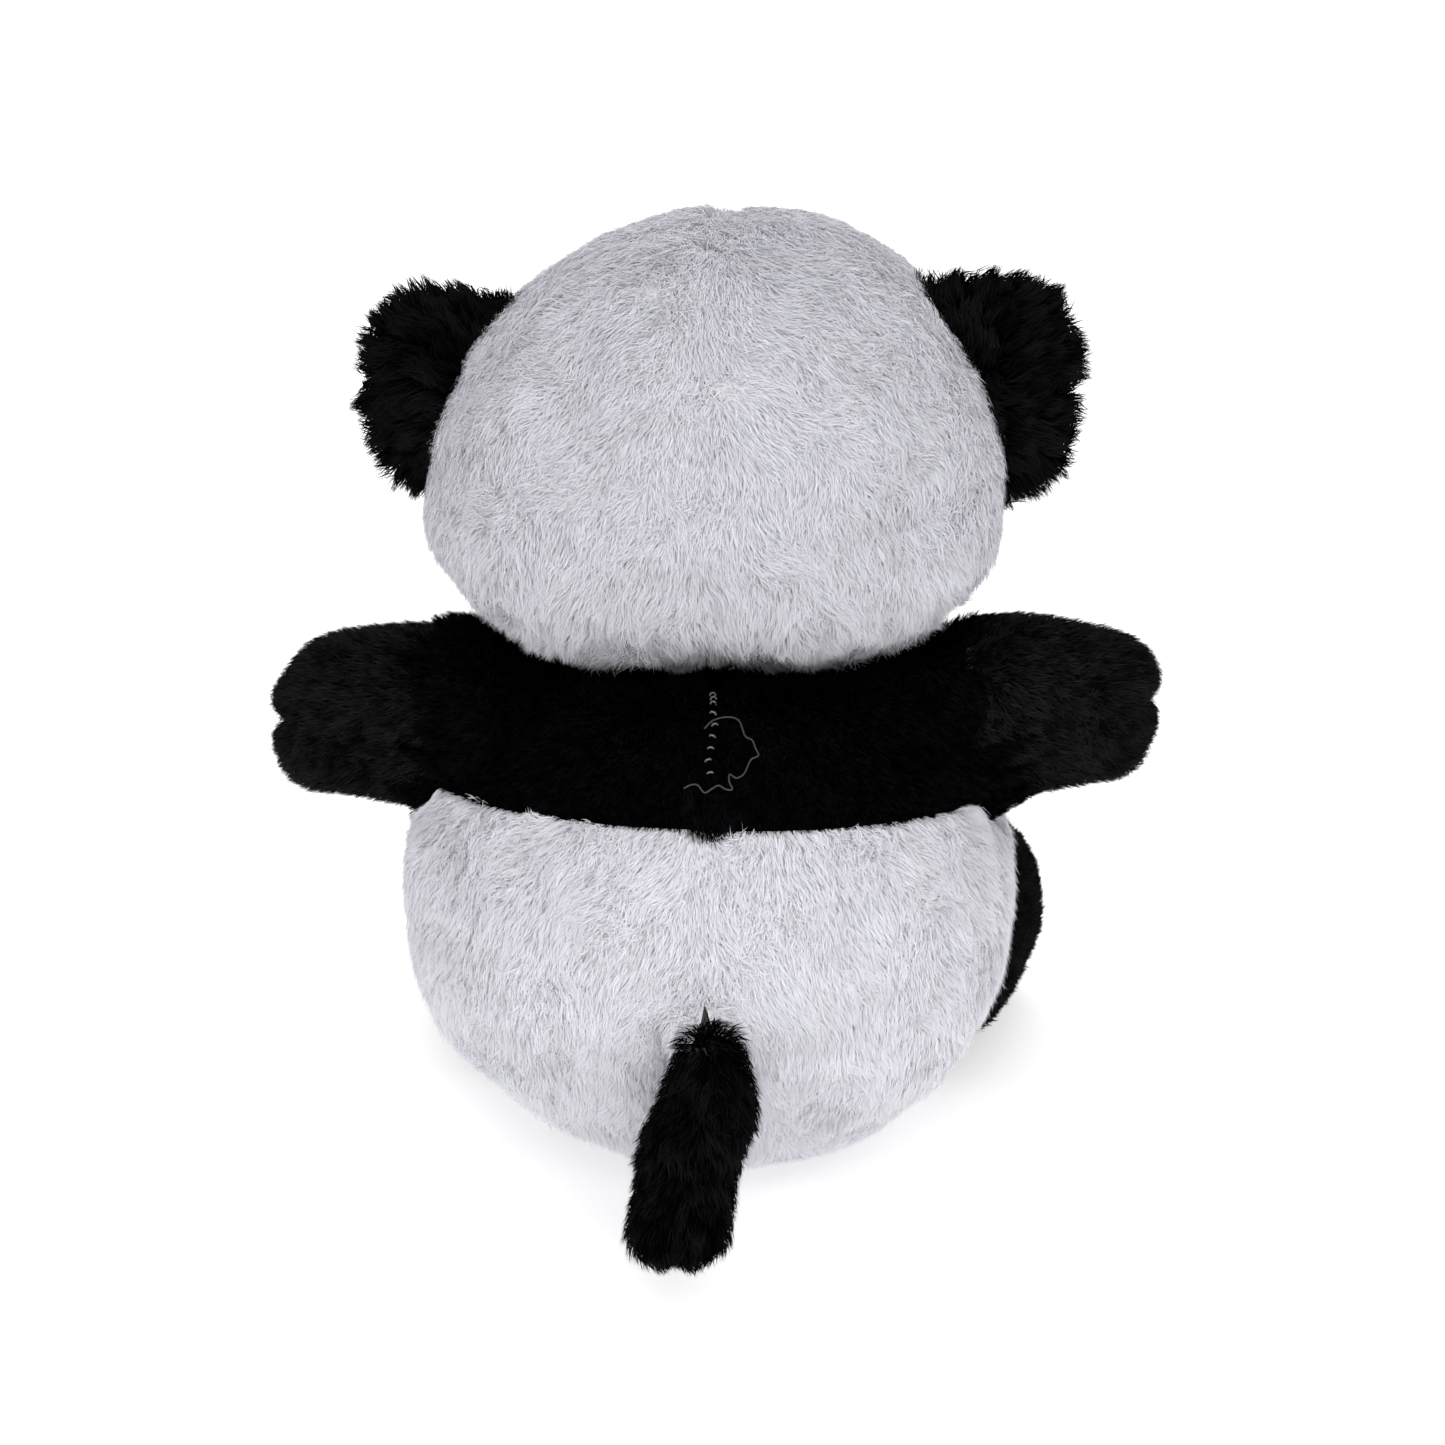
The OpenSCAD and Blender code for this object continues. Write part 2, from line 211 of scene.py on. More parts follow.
def fill_out(form, seam_distance, pressure, most):
    """Blender's cloth, under pressure and held along the seams. It moves a skin by less than a
    millimetre: the fullness comes from each form's own shape and from the grooves."""
    mesh = bpy.data.meshes.new("stuffed_skin")
    mesh.from_pydata(form.points.tolist(), [], form.tris.tolist())
    skin = bpy.data.objects.new("stuffed_skin", mesh)
    bpy.context.scene.collection.objects.link(skin)
    held = skin.vertex_groups.new(name="seams")
    for index in np.flatnonzero(seam_distance < SEAM_HELD):
        held.add([int(index)], 1.0, "REPLACE")
    cloth = skin.modifiers.new("cloth", "CLOTH")
    cloth.settings.quality = 5
    cloth.settings.mass = 0.2
    cloth.settings.tension_stiffness = cloth.settings.compression_stiffness = 12
    cloth.settings.bending_stiffness = 0.6
    cloth.settings.use_pressure = True
    cloth.settings.uniform_pressure_force = pressure
    cloth.settings.vertex_group_mass = "seams"
    cloth.settings.pin_stiffness = 1
    cloth.settings.effector_weights.gravity = 0
    cloth.collision_settings.use_collision = False
    for moment in range(1, CLOTH_STEPS + 1):
        bpy.context.scene.frame_set(moment)
    blown = skin.evaluated_get(bpy.context.evaluated_depsgraph_get()).to_mesh()
    moved = np.zeros(len(form.points) * 3)
    blown.vertices.foreach_get("co", moved)
    shift = moved.reshape(-1, 3) - form.points
    far = np.linalg.norm(shift, axis=1, keepdims=True)
    form.points += shift * np.minimum(1, most / np.maximum(far, 1e-9))
    bpy.data.objects.remove(skin)
    bpy.context.scene.frame_set(1)


# ---------------------------------------------------------------- meshes

def build_mesh(name, points, tris, normals, tones, tips, slots):
    """One mesh of triangles with its own normals, and two numbers at each point: tone and tip."""
    mesh = bpy.data.meshes.new(name)
    mesh.vertices.add(len(points))
    mesh.vertices.foreach_set("co", np.ascontiguousarray(points, np.float32).ravel())
    mesh.loops.add(len(tris) * 3)
    mesh.loops.foreach_set("vertex_index", np.ascontiguousarray(tris, np.int32).ravel())
    mesh.polygons.add(len(tris))
    mesh.polygons.foreach_set("loop_start", np.arange(0, len(tris) * 3, 3, dtype=np.int32))
    mesh.polygons.foreach_set("material_index", np.ascontiguousarray(slots, np.int32))
    mesh.update()
    mesh.validate()
    for label, values in (("tone", tones), ("tip", tips)):
        layer = mesh.attributes.new(label, "FLOAT", "POINT")
        layer.data.foreach_set("value", np.ascontiguousarray(values, np.float32))
    mesh.shade_smooth()
    mesh.normals_split_custom_set_from_vertices(normals.tolist())
    return mesh


def add_piece(name, mesh, body, materials, nodes=()):
    piece = bpy.data.objects.new(name, mesh)
    bpy.context.scene.collection.objects.link(piece)
    for material in materials:
        mesh.materials.append(material)
    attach(piece, body)
    if nodes:
        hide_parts(*nodes)
    return piece


def shell(points, tris, normals, thickness):
    """A closed shell: the outer skin, the same skin moved in, and a wall along the open edges."""
    count = len(points)
    inner = points - normals * thickness
    edges = np.concatenate([tris[:, [0, 1]], tris[:, [1, 2]], tris[:, [2, 0]]])
    keys = np.sort(edges, 1)
    _, first, times = np.unique(keys, axis=0, return_index=True, return_counts=True)
    rim = edges[first[times == 1]]
    walls = np.concatenate([
        np.stack([rim[:, 1], rim[:, 0], rim[:, 0] + count], 1),
        np.stack([rim[:, 1], rim[:, 0] + count, rim[:, 1] + count], 1)])
    all_tris = np.concatenate([tris, tris[:, ::-1] + count, walls])
    return np.concatenate([points, inner]), all_tris, np.concatenate([normals, -normals])


# ---------------------------------------------------------------- the pile

class Pile:
    """How the pile of one kind of plush stands: sizes in metres, lifts in degrees."""

    def __init__(self, per_mm2, length, width, lift, lay, clump, gather, mess=0.3, sparkle=0.12):
        self.per_mm2, self.length, self.width = per_mm2, length, width
        self.lift, self.lay, self.clump, self.gather = lift, lay, clump, gather
        self.mess, self.sparkle = mess, sparkle


HEAD_PILE = Pile(3.5, 7.5 * MM, 0.36 * MM, 50, 16, 3.0 * MM, 0.22, 0.5, 0.08)
RUMP_PILE = Pile(3.3, 7.5 * MM, 0.36 * MM, 48, 16, 3.0 * MM, 0.22, 0.5, 0.08)
BELLY_PILE = Pile(1.5, 8.5 * MM, 0.65 * MM, 50, 18, 3.0 * MM, 0.26, 0.4)
FACE_PILE = Pile(2.4, 6.5 * MM, 0.55 * MM, 48, 14, 2.6 * MM, 0.3)
SHORT_PILE = Pile(2.6, 4.5 * MM, 0.5 * MM, 52, 20, 2.0 * MM, 0.25)
BAND_PILE = Pile(2.8, 5.5 * MM, 0.42 * MM, 66, 34, 2.0 * MM, 0.15, 0.2)
ARM_PILE = Pile(2.8, 6 * MM, 0.42 * MM, 54, 26, 2.4 * MM, 0.24)
LEG_PILE = Pile(2.2, 7.5 * MM, 0.55 * MM, 52, 20, 2.8 * MM, 0.35)
EAR_PILE = Pile(2.8, 9.5 * MM, 0.5 * MM, 55, 30, 4.0 * MM, 0.55, 0.5)
TAIL_PILE = Pile(2.8, 8 * MM, 0.5 * MM, 55, 20, 3.0 * MM, 0.4)


def scatter(points, tris, normals, per_mm2, seed):
    """Roots spread evenly over the triangles, with the surface's normal at each."""
    spread = np.random.default_rng(seed)
    a, b, c = (points[tris[:, k]] for k in range(3))
    area = np.linalg.norm(np.cross(b - a, c - a), axis=1) / 2
    count = int(area.sum() * 1e6 * per_mm2)
    pick = spread.choice(len(tris), count, p=area / area.sum())
    u, v = spread.random((2, count))
    fold = u + v > 1
    u[fold], v[fold] = 1 - u[fold], 1 - v[fold]
    weights = np.stack([1 - u - v, u, v], 1)
    roots = np.einsum("ij,ijk->ik", weights, points[tris[pick]])
    return roots, unit(np.einsum("ij,ijk->ik", weights, normals[tris[pick]]))


def grow(roots, normals, nap, pile, length_scale, stand, seed):
    """Strands as slim tapered ribbons, bent over along the nap and gathered into tufts.
    stand, from -1 to 1, makes them lie flat along the nap or stand up in closer tufts."""
    spread = np.random.default_rng(seed)
    count = len(roots)
    nap = unit(nap) + pile.mess * (drift(roots, 26 * MM, SWIRLS)
                                   + 0.6 * drift(roots, 11 * MM, SWIRLS + 9))
    low_nap = tangent(nap + 0.2 * spread.normal(size=(count, 3)), normals)
    high_nap = tangent(nap + 0.42 * spread.normal(size=(count, 3)), normals)
    length = pile.length * length_scale * (0.78 + 0.44 * spread.random(count))
    length *= 1 + 0.1 * swell(roots, 22 * MM, seed + 9)
    lift = np.radians(pile.lift + 25 * stand + 9 * spread.normal(size=count))[:, None]
    lay = np.radians(pile.lay + 40 * stand + 9 * spread.normal(size=count))[:, None]
    low = normals * np.sin(lift) + low_nap * np.cos(lift)
    high = normals * np.sin(lay) + high_nap * np.cos(lay)
    middle = roots + low * (0.48 * length)[:, None]
    end = middle + high * (0.52 * length)[:, None]

    # tufts: each strand leans towards the strand in the middle of its own tuft
    tufts = spread.choice(count, max(1, int(count / (pile.per_mm2 * (pile.clump / MM) ** 2))),
                          replace=False)
    tree = kdtree.KDTree(len(tufts))
    for k, root in enumerate(tufts):
        tree.insert(roots[root], k)
    tree.balance()
    mine = tufts[np.fromiter((tree.find(p)[1] for p in roots.tolist()), np.int64, count)]
    offset = roots[mine] - roots
    shag = 1 + 4 * np.maximum(stand, 0)
    pull = np.minimum(pile.gather * shag * (0.6 + 0.8 * spread.random(count)), 0.85)[:, None]
    reach = (length / pile.length)[:, None]
    end = end + pull * (end[mine] - end) * np.minimum(reach, 1)
    middle = middle + 0.35 * pull * (offset + 0.3 * (middle[mine] - roots[mine] - middle + roots))

    along = unit(end - roots)
    flat = unit(np.cross(along, normals))
    turn = np.radians(spread.uniform(-55, 55, count))[:, None]
    across = flat * np.cos(turn) + np.cross(along, flat) * np.sin(turn)
    half = pile.width * (0.75 + 0.5 * spread.random(count))[:, None] / 2
    roots_in = roots - normals * 0.6 * MM
    points = np.stack([roots_in - across * half, roots_in + across * half,
                       middle - across * half * 0.8, middle + across * half * 0.8, end], 1)
    points[..., 2] = np.maximum(points[..., 2], 0.3 * MM)
    base = np.arange(count)[:, None, None] * 5
    tris = (base + np.array([[0, 1, 3], [0, 3, 2], [2, 3, 4]])[None]).reshape(-1, 3)

    own = unit(np.cross(across, along))
    own *= np.sign(np.sum(own * normals, 1, keepdims=True))
    lit = unit(0.8 * normals + 0.2 * own + pile.sparkle * spread.normal(size=(count, 3))
               + 0.16 * drift(roots, 13 * MM, SWIRLS + 3) + 0.12 * drift(roots, 34 * MM, SWIRLS + 6))
    shade = np.concatenate([np.repeat(lit[:, None], 2, 1),
                            np.repeat(unit(lit + 0.2 * along)[:, None], 3, 1)], 1)
    tone = 0.55 * spread.random(count) + 0.45 * (0.5 + 0.5 * np.sin(mine * 12.9898))
    # tip runs from 0 at the root to 1 at the tip: the pile's colour uses it for painted shade at the
    # roots
    tips = np.tile([0, 0, 0.55, 0.55, 1], count)
    return points.reshape(-1, 3), tris, shade.reshape(-1, 3), np.repeat(tone, 5), tips


def plush_piece(name, form, number, body, cloth, pile, nap, nodes,
                seed, scale=None, keep=None, bare=None, stand=None):
    """One panel of a form: its backing as a closed shell, with its pile grown on the outside.
    keep is true for the triangles that stay, and bare for the roots that are dropped. scale
    gives each strand's length and stand how upright it is, both told from its root."""
    normals_all = form.normals()
    chosen = form.panel == number
    if keep is not None:
        chosen &= keep(form.points[form.tris].mean(1))
    used, tris = np.unique(form.tris[chosen], return_inverse=True)
    tris = tris.reshape(-1, 3)
    points, normals = form.points[used], normals_all[used]
    roots, lifts = scatter(points, tris, normals, pile.per_mm2, seed)
    if bare is not None:
        stay = ~bare(roots)
        roots, lifts = roots[stay], lifts[stay]
    size = np.ones(len(roots)) if scale is None else scale(roots)
    up = np.zeros(len(roots)) if stand is None else stand(roots)
    fur = grow(roots, lifts, nap(roots, lifts), pile, size, up, seed + 1)
    skin_points, skin_tris, skin_normals = shell(points, tris, normals, SKIN_T)
    mesh = build_mesh(
        name, np.concatenate([skin_points, fur[0]]),
        np.concatenate([skin_tris, fur[1] + len(skin_points)]),
        np.concatenate([skin_normals, fur[2]]),
        np.concatenate([np.full(len(skin_points), 0.5), fur[3]]),
        np.concatenate([np.zeros(len(skin_points)), fur[4]]),
        np.concatenate([np.zeros(len(skin_tris)), np.ones(len(fur[1]))]))
    piece = add_piece(name, mesh, body, cloth, nodes)
    return piece


def stuffing_piece(name, form, body, node, depth, seed, hollows=()):
    """A lumpy ball of fibre that fills a form, a little inside its backing, with round hollows
    where other bodies' roots turn."""
    normals = form.normals()
    points = form.points - normals * depth
    points += normals * (1.0 * MM * swell(points, 16 * MM, seed)
                         + 0.4 * MM * swell(points, 5 * MM, seed + 1))[:, None]
    for at, radius in hollows:
        points = dent(points, at, radius)
    inside = Form(points, form.tris, None)
    mesh = build_mesh(name, points, form.tris, inside.normals(), np.full(len(points), 0.5),
                      np.zeros(len(points)), np.zeros(len(form.tris)))
    piece = add_piece(name, mesh, body, [FILLING], (node,))
    return piece


# ---------------------------------------------------------------- materials

def node_material(name):
    material = bpy.data.materials.new(name)
    material.use_nodes = True
    tree = material.node_tree
    return material, tree, tree.nodes["Principled BSDF"]


def link(tree, source, target):
    tree.links.new(source, target)


def noise(tree, scale, detail=3.0, rough=0.55):
    place = tree.nodes.new("ShaderNodeTexCoord")
    texture = tree.nodes.new("ShaderNodeTexNoise")
    texture.inputs["Scale"].default_value = scale
    texture.inputs["Detail"].default_value = detail
    texture.inputs["Roughness"].default_value = rough
    link(tree, place.outputs["Object"], texture.inputs["Vector"])
    return texture.outputs["Fac"]


def number_at(tree, name):
    reader = tree.nodes.new("ShaderNodeAttribute")
    reader.attribute_name = name
    return reader.outputs["Fac"]


def math_node(tree, operation, *values):
    worker = tree.nodes.new("ShaderNodeMath")
    worker.operation = operation
    for socket, value in zip(worker.inputs, values):
        if hasattr(value, "is_linked"):
            link(tree, value, socket)
        else:
            socket.default_value = value
    return worker.outputs[0]


def ramp(tree, factor, stops):
    """Colours along a factor: stops are (place, (r, g, b))."""
    band = tree.nodes.new("ShaderNodeValToRGB")
    points = band.color_ramp.elements
    for _ in stops[2:]:
        points.new(0.5)
    for point, (place, colour) in zip(points, stops):
        point.position, point.color = place, (*colour, 1)
    link(tree, factor, band.inputs["Fac"])
    return band.outputs["Color"]


def spread_between(tree, factor, low, high):
    scaler = tree.nodes.new("ShaderNodeMapRange")
    scaler.inputs["To Min"].default_value = low
    scaler.inputs["To Max"].default_value = high
    link(tree, factor, scaler.inputs["Value"])
    return scaler.outputs["Result"]


def bump(tree, shader, height, strength, distance):
    lump = tree.nodes.new("ShaderNodeBump")
    lump.inputs["Strength"].default_value = strength
    lump.inputs["Distance"].default_value = distance
    link(tree, height, lump.inputs["Height"])
    link(tree, lump.outputs["Normal"], shader.inputs["Normal"])


def pile_material(name, dark, mid, light, rough, sheen, specular, through=0.0):
    """Pile: darker at the roots and lighter at the tips, as painted shade deep in the pile, with each
    tuft a little off its neighbours.
    through is the share of light that passes through a fibre."""
    material, tree, shader = node_material(name)
    tone = math_node(tree, "MULTIPLY", number_at(tree, "tone"), 0.55)
    # painted shade: the tip number darkens each strand towards its root and lightens it towards its
    # tip
    height = math_node(tree, "MULTIPLY", number_at(tree, "tip"), 0.45)
    patch = math_node(tree, "MULTIPLY_ADD", noise(tree, 45), 0.5, -0.2)
    level = math_node(tree, "ADD", math_node(tree, "ADD", tone, height), patch)
    colour = ramp(tree, level, [(0.05, dark), (0.45, mid), (0.95, light)])
    link(tree, colour, shader.inputs["Base Color"])
    if through:
        fibre = tree.nodes.new("ShaderNodeBsdfTranslucent")
        mixer = tree.nodes.new("ShaderNodeMixShader")
        mixer.inputs[0].default_value = through
        link(tree, colour, fibre.inputs["Color"])
        link(tree, shader.outputs[0], mixer.inputs[1])
        link(tree, fibre.outputs[0], mixer.inputs[2])
        link(tree, mixer.outputs[0], tree.nodes["Material Output"].inputs["Surface"])
    link(tree, spread_between(tree, noise(tree, 300), rough - 0.1, rough + 0.1),
         shader.inputs["Roughness"])
    shader.inputs["Sheen Weight"].default_value = sheen
    shader.inputs["Sheen Roughness"].default_value = 0.5
    shader.inputs["Specular IOR Level"].default_value = specular
    return material


def backing_material(name, low, high):
    """Knitted backing under the pile: rows of small loops."""
    material, tree, shader = node_material(name)
    link(tree, ramp(tree, noise(tree, 600, 4), [(0.3, low), (0.7, high)]),
         shader.inputs["Base Color"])
    place = tree.nodes.new("ShaderNodeTexCoord")
    loops = tree.nodes.new("ShaderNodeTexVoronoi")
    loops.inputs["Scale"].default_value = 900
    link(tree, place.outputs["Object"], loops.inputs["Vector"])
    bump(tree, shader, loops.outputs["Distance"], 0.6, 0.4 * MM)
    link(tree, spread_between(tree, noise(tree, 250), 0.8, 0.95), shader.inputs["Roughness"])
    shader.inputs["Specular IOR Level"].default_value = 0.03
    return material


def fibre_material():
    material, tree, shader = node_material("fibre_filling")
    # the fibre's two tones follow the same noise as its bump, so its hollows are darker: partly its
    # own tone, partly painted shade
    wool = noise(tree, 260, 8, 0.7)
    link(tree, ramp(tree, wool, [(0.3, (0.62, 0.61, 0.57)), (0.7, (0.93, 0.92, 0.88))]),
         shader.inputs["Base Color"])
    link(tree, spread_between(tree, wool, 0.85, 1.0), shader.inputs["Roughness"])
    bump(tree, shader, wool, 0.8, 1.2 * MM)
    shader.inputs["Sheen Weight"].default_value = 0.4
    return material


def plastic_material(name, colour, rough, coat):
    """Moulded plastic with faint flow marks and the dullness of handling."""
    material, tree, shader = node_material(name)
    marks = noise(tree, 180, 5)
    link(tree, ramp(tree, marks, [(0.35, colour), (0.75, tuple(c * 1.5 + 0.002 for c in colour))]),
         shader.inputs["Base Color"])
    link(tree, spread_between(tree, noise(tree, 400, 4), rough * 0.6, rough * 1.6),
         shader.inputs["Roughness"])
    bump(tree, shader, noise(tree, 1500, 2), 0.05, 0.1 * MM)
    shader.inputs["Coat Weight"].default_value = coat
    shader.inputs["Coat Roughness"].default_value = 0.06
    return material


def thread_material(name, low, high):
    """Twisted thread: fine slanting plies, whose colour follows their bump, so that the grooves
    between them are darker as painted shade.
    """
    material, tree, shader = node_material(name)
    plies = noise(tree, 2600, 3)
    link(tree, ramp(tree, plies, [(0.35, low), (0.65, high)]), shader.inputs["Base Color"])
    link(tree, spread_between(tree, plies, 0.55, 0.8), shader.inputs["Roughness"])
    bump(tree, shader, plies, 0.7, 0.15 * MM)
    return material


WHITE = pile_material("white_pile", (0.84, 0.837, 0.878), (0.885, 0.882, 0.925),
                      (0.925, 0.922, 0.965), 0.62, 0.1, 0.15, 0.36)
# painted shade: head and muzzle get the white pile made about a tenth darker, so that they come out
# more shaded than the rump
HEAD_WHITE_SHADED = pile_material("head_pile_painted_shade", (0.745, 0.742, 0.782), (0.785, 0.782, 0.825),
                           (0.825, 0.822, 0.868), 0.62, 0.1, 0.15, 0.36)
BLACK = pile_material("black_pile", (0.0001, 0.0001, 0.0002), (0.0002, 0.0002, 0.0005),
                      (0.005, 0.005, 0.006), 0.6, 0.0, 0.002)
# painted highlights: the pile of ears, legs and tail is lighter than the band's, most at its lightest
# stop, for the strands that catch the light
DARK_HIGHLIT = pile_material("dark_pile_painted_highlights", (0.0001, 0.0001, 0.0002), (0.0003, 0.0003, 0.0005),
                     (0.009, 0.009, 0.010), 0.6, 0.0, 0.004)
# painted sheen: the arms' black pile is lighter than the band's, for the grey sheen on the arms
ARM_BLACK_SHEEN = pile_material("arm_pile_painted_sheen", (0.0004, 0.0004, 0.0005), (0.0016, 0.0016, 0.0019),
                          (0.015, 0.015, 0.016), 0.5, 0.0, 0.012)
# painted shade: the white backing is greyer than the pile, for the shade under the pile
WHITE_BACKING_SHADED = backing_material("white_backing_painted_shade", (0.74, 0.735, 0.75), (0.86, 0.855, 0.88))
BLACK_BACKING = backing_material("black_backing", (0.0004, 0.0004, 0.0005),
                                 (0.0012, 0.0012, 0.0014))
FILLING = fibre_material()
EYE_PLASTIC = plastic_material("eye_gloss", (0.004, 0.003, 0.003), 0.10, 0.25)
NOSE_PLASTIC = plastic_material("nose_satin", (0.008, 0.007, 0.007), 0.30, 0.1)
WASHER_PLASTIC = plastic_material("washer_plastic", (0.55, 0.56, 0.57), 0.5, 0.0)
BLACK_THREAD = thread_material("black_thread", (0.008, 0.008, 0.008), (0.03, 0.03, 0.03))
GREY_THREAD = thread_material("grey_thread", (0.08, 0.08, 0.09), (0.20, 0.20, 0.22))
LOOSE_THREAD = thread_material("loose_thread", (0.012, 0.012, 0.014), (0.035, 0.035, 0.038))
WHITE_PLUSH = [WHITE_BACKING_SHADED, WHITE]
HEAD_SHADED_PLUSH = [WHITE_BACKING_SHADED, HEAD_WHITE_SHADED]
BLACK_PLUSH = [BLACK_BACKING, BLACK]
DARK_HIGHLIT_PLUSH = [BLACK_BACKING, DARK_HIGHLIT]
ARM_SHEEN_PLUSH = [BLACK_BACKING, ARM_BLACK_SHEEN]


# ---------------------------------------------------------------- the camera, light and floor

def studio():
    camera = bpy.data.objects.new("camera", bpy.data.cameras.new("camera"))
    bpy.context.scene.collection.objects.link(camera)
    azimuth, elevation = math.radians(184), math.radians(19)
    back = Vector((math.sin(azimuth) * math.cos(elevation),
                   -math.cos(azimuth) * math.cos(elevation), math.sin(elevation)))
    camera.location = Vector((-0.003, 0, 0.139)) + back * 0.95
    camera.rotation_mode = "QUATERNION"
    camera.rotation_quaternion = (-back).to_track_quat("-Z", "Y")
    camera.data.lens = 76
    camera.data.clip_start, camera.data.clip_end = 0.05, 20
    bpy.context.scene.camera = camera

    aim = Vector((0, 0, 0.13))
    for name, place, size, power in (
            ("key", (-0.5, 1.35, 0.75), 1.2, 13), ("fill", (1.3, 0.9, 0.5), 1.2, 4.5),
            ("front", (0.5, -1.4, 1.1), 1.2, 7), ("top", (0, 0.1, 1.7), 1.2, 5)):
        lamp = bpy.data.lights.new(name, "AREA")
        lamp.size, lamp.energy = size, power
        light = bpy.data.objects.new(name, lamp)
        light.location = place
        light.rotation_mode = "QUATERNION"
        light.rotation_quaternion = (aim - Vector(place)).to_track_quat("-Z", "Y")
        bpy.context.scene.collection.objects.link(light)

    world = bpy.data.worlds.new("studio")
    world.use_nodes = True
    world.node_tree.nodes["Background"].inputs["Color"].default_value = (1, 1, 1, 1)
    world.node_tree.nodes["Background"].inputs["Strength"].default_value = 0.64
    bpy.context.scene.world = world
    bpy.context.scene.view_settings.view_transform = "Standard"

    mesh = bpy.data.meshes.new("floor")
    half = 6.0
    mesh.from_pydata([(-half, -half, -0.0005), (half, -half, -0.0005),
                      (half, half, -0.0005), (-half, half, -0.0005)], [], [(0, 1, 2, 3)])
    floor = bpy.data.objects.new("floor", mesh)
    material, tree, shader = node_material("pale_floor")
    link(tree, ramp(tree, noise(tree, 3), [(0.3, (0.93, 0.93, 0.93)), (0.7, (0.96, 0.96, 0.96))]),
         shader.inputs["Base Color"])
    shader.inputs["Roughness"].default_value = 0.9
    shader.inputs["Emission Color"].default_value = (1, 1, 1, 1)
    shader.inputs["Emission Strength"].default_value = 0.4
    mesh.materials.append(material)
    bpy.context.scene.collection.objects.link(floor)


studio()


# ---------------------------------------------------------------- body

PILE_STAND = 4.5 * MM     # pressed pile between the backing and the CAD's outer surface
LEG_SKIN = 27 * MM        # radii of the legs' and the tail's round roots, at the backing
TAIL_SKIN = 6.5 * MM
TAIL_START = TAIL_ROOT - X * 5 * MM
NECK_TOP = NECK - Z * 21 * MM
SEAM_DRIFT = 4 * MM       # the rump's middle seam wanders to the panda's right
BAND_EDGE = BAND_LOW + 5 * MM   # where rump and band meet in the looks, above the CAD's seam
COLLAR = 5 * MM           # width of the black collar round an armhole

# the body's panels, by number
RUMP_LEFT, RUMP_RIGHT, BELLY, SEAT, BAND_LEFT, BAND_RIGHT, CHEST = range(7)


def body_shape(d):
    """The body's backing in each direction: a ball, tucked in under the rump, soft at the neck."""
    radius = BODY_R - PILE_STAND
    p = d * radius
    low = np.minimum(p[:, 2], 0)
    p[:, 2] -= low * 0.045 * smooth(-low / radius)
    tuck = smooth(-(p[:, 2] + 35 * MM) / (50 * MM)) * smooth(p[:, 1] / (60 * MM))
    p[:, 1] -= 9 * MM * tuck
    over = np.maximum(p @ BODY_UP - NECK_HIGH - 5 * MM, 0)
    p -= BODY_UP * (over * 0.8)[:, None]
    p[:, 0] -= SEAM_DRIFT * smooth(p[:, 1] / (60 * MM)) * (1 - (p[:, 0] / radius) ** 2)
    # the left flank is stuffed fuller than the right one
    fuller = np.where(p[:, 0] > 0, 0.055, 0.02)
    p[:, 0] *= 1 + fuller * np.exp(-((p[:, 2] + 12 * MM) / (35 * MM)) ** 2)
    return p + BODY_AT


def body_form(level=5):
    band = BAND_EDGE / BODY_R
    seat = (SEAT_T - BODY_Z) / BODY_R
    cuts = [((1, 0, 0), 0), ((0, 1, 0), 0), (BODY_UP, band), ((0, 0, 1), seat)]

    def panel(middle):
        number = np.where(middle @ BODY_UP > band,
                          np.where(middle[:, 1] < 0, CHEST,
                                   np.where(middle[:, 0] > 0, BAND_LEFT, BAND_RIGHT)),
                          np.where(middle[:, 1] < 0, BELLY,
                                   np.where(middle[:, 0] > 0, RUMP_LEFT, RUMP_RIGHT)))
        return np.where(middle[:, 2] < seat, SEAT, number)

    form = cut_ball(level, cuts, panel)
    d = form.directions
    form.points = body_shape(d)
    form.points += form.normals() * (1.6 * MM * swell(form.points, 70 * MM, 3)
                                     + 0.7 * MM * swell(form.points, 30 * MM, 4))[:, None]
    rest = form.points - BODY_AT
    centre = np.abs(d[:, 0]) * BODY_R
    belt = np.abs(d @ BODY_UP * BODY_R - BAND_EDGE)
    sides = np.abs(rest[:, 1])
    back = smooth(rest[:, 1] / (20 * MM))
    fill_out(form, np.minimum(np.minimum(belt, sides), np.where(rest[:, 1] > 0, centre, 1)),
             0.9, 3 * MM)
    groove(form, centre / np.maximum(back, 0.05), 1.8 * MM, 7 * MM)
    groove(form, belt, 1.4 * MM, 6 * MM)
    groove(form, sides, 1.2 * MM, 6 * MM)
    form.points[:, 2] = np.maximum(form.points[:, 2], 1.2 * MM)
    core = Form(form.directions, form.tris, form.panel)
    core.points = form.points.copy()
    for at, radius, above, below in body_limbs():
        high = smooth((form.points[:, 2] - at[2]) / (30 * MM) + 0.5)
        form.points = reach_out(form.points, BODY_AT, at, radius, below + (above - below) * high)
    # the armholes are cut out of the black band, so their collars are black all round
    middle = form.points[form.tris].mean(1)
    for side in SIDES.values():
        collar = near_ball(arm_root(side), arm_skin(side) + COLLAR)(middle)
        form.panel[collar & (form.panel < BELLY)] = BAND_LEFT if side > 0 else BAND_RIGHT
        form.panel[collar & (form.panel == BELLY)] = CHEST
    return form, core


def band_nap(p, n):
    """The band is combed down, and out onto the arms."""
    out = np.sign(p[:, :1]) * smooth((np.abs(p[:, :1]) - 55 * MM) / (30 * MM))
    return -Z * (1 - 0.7 * np.abs(out)) + X * out


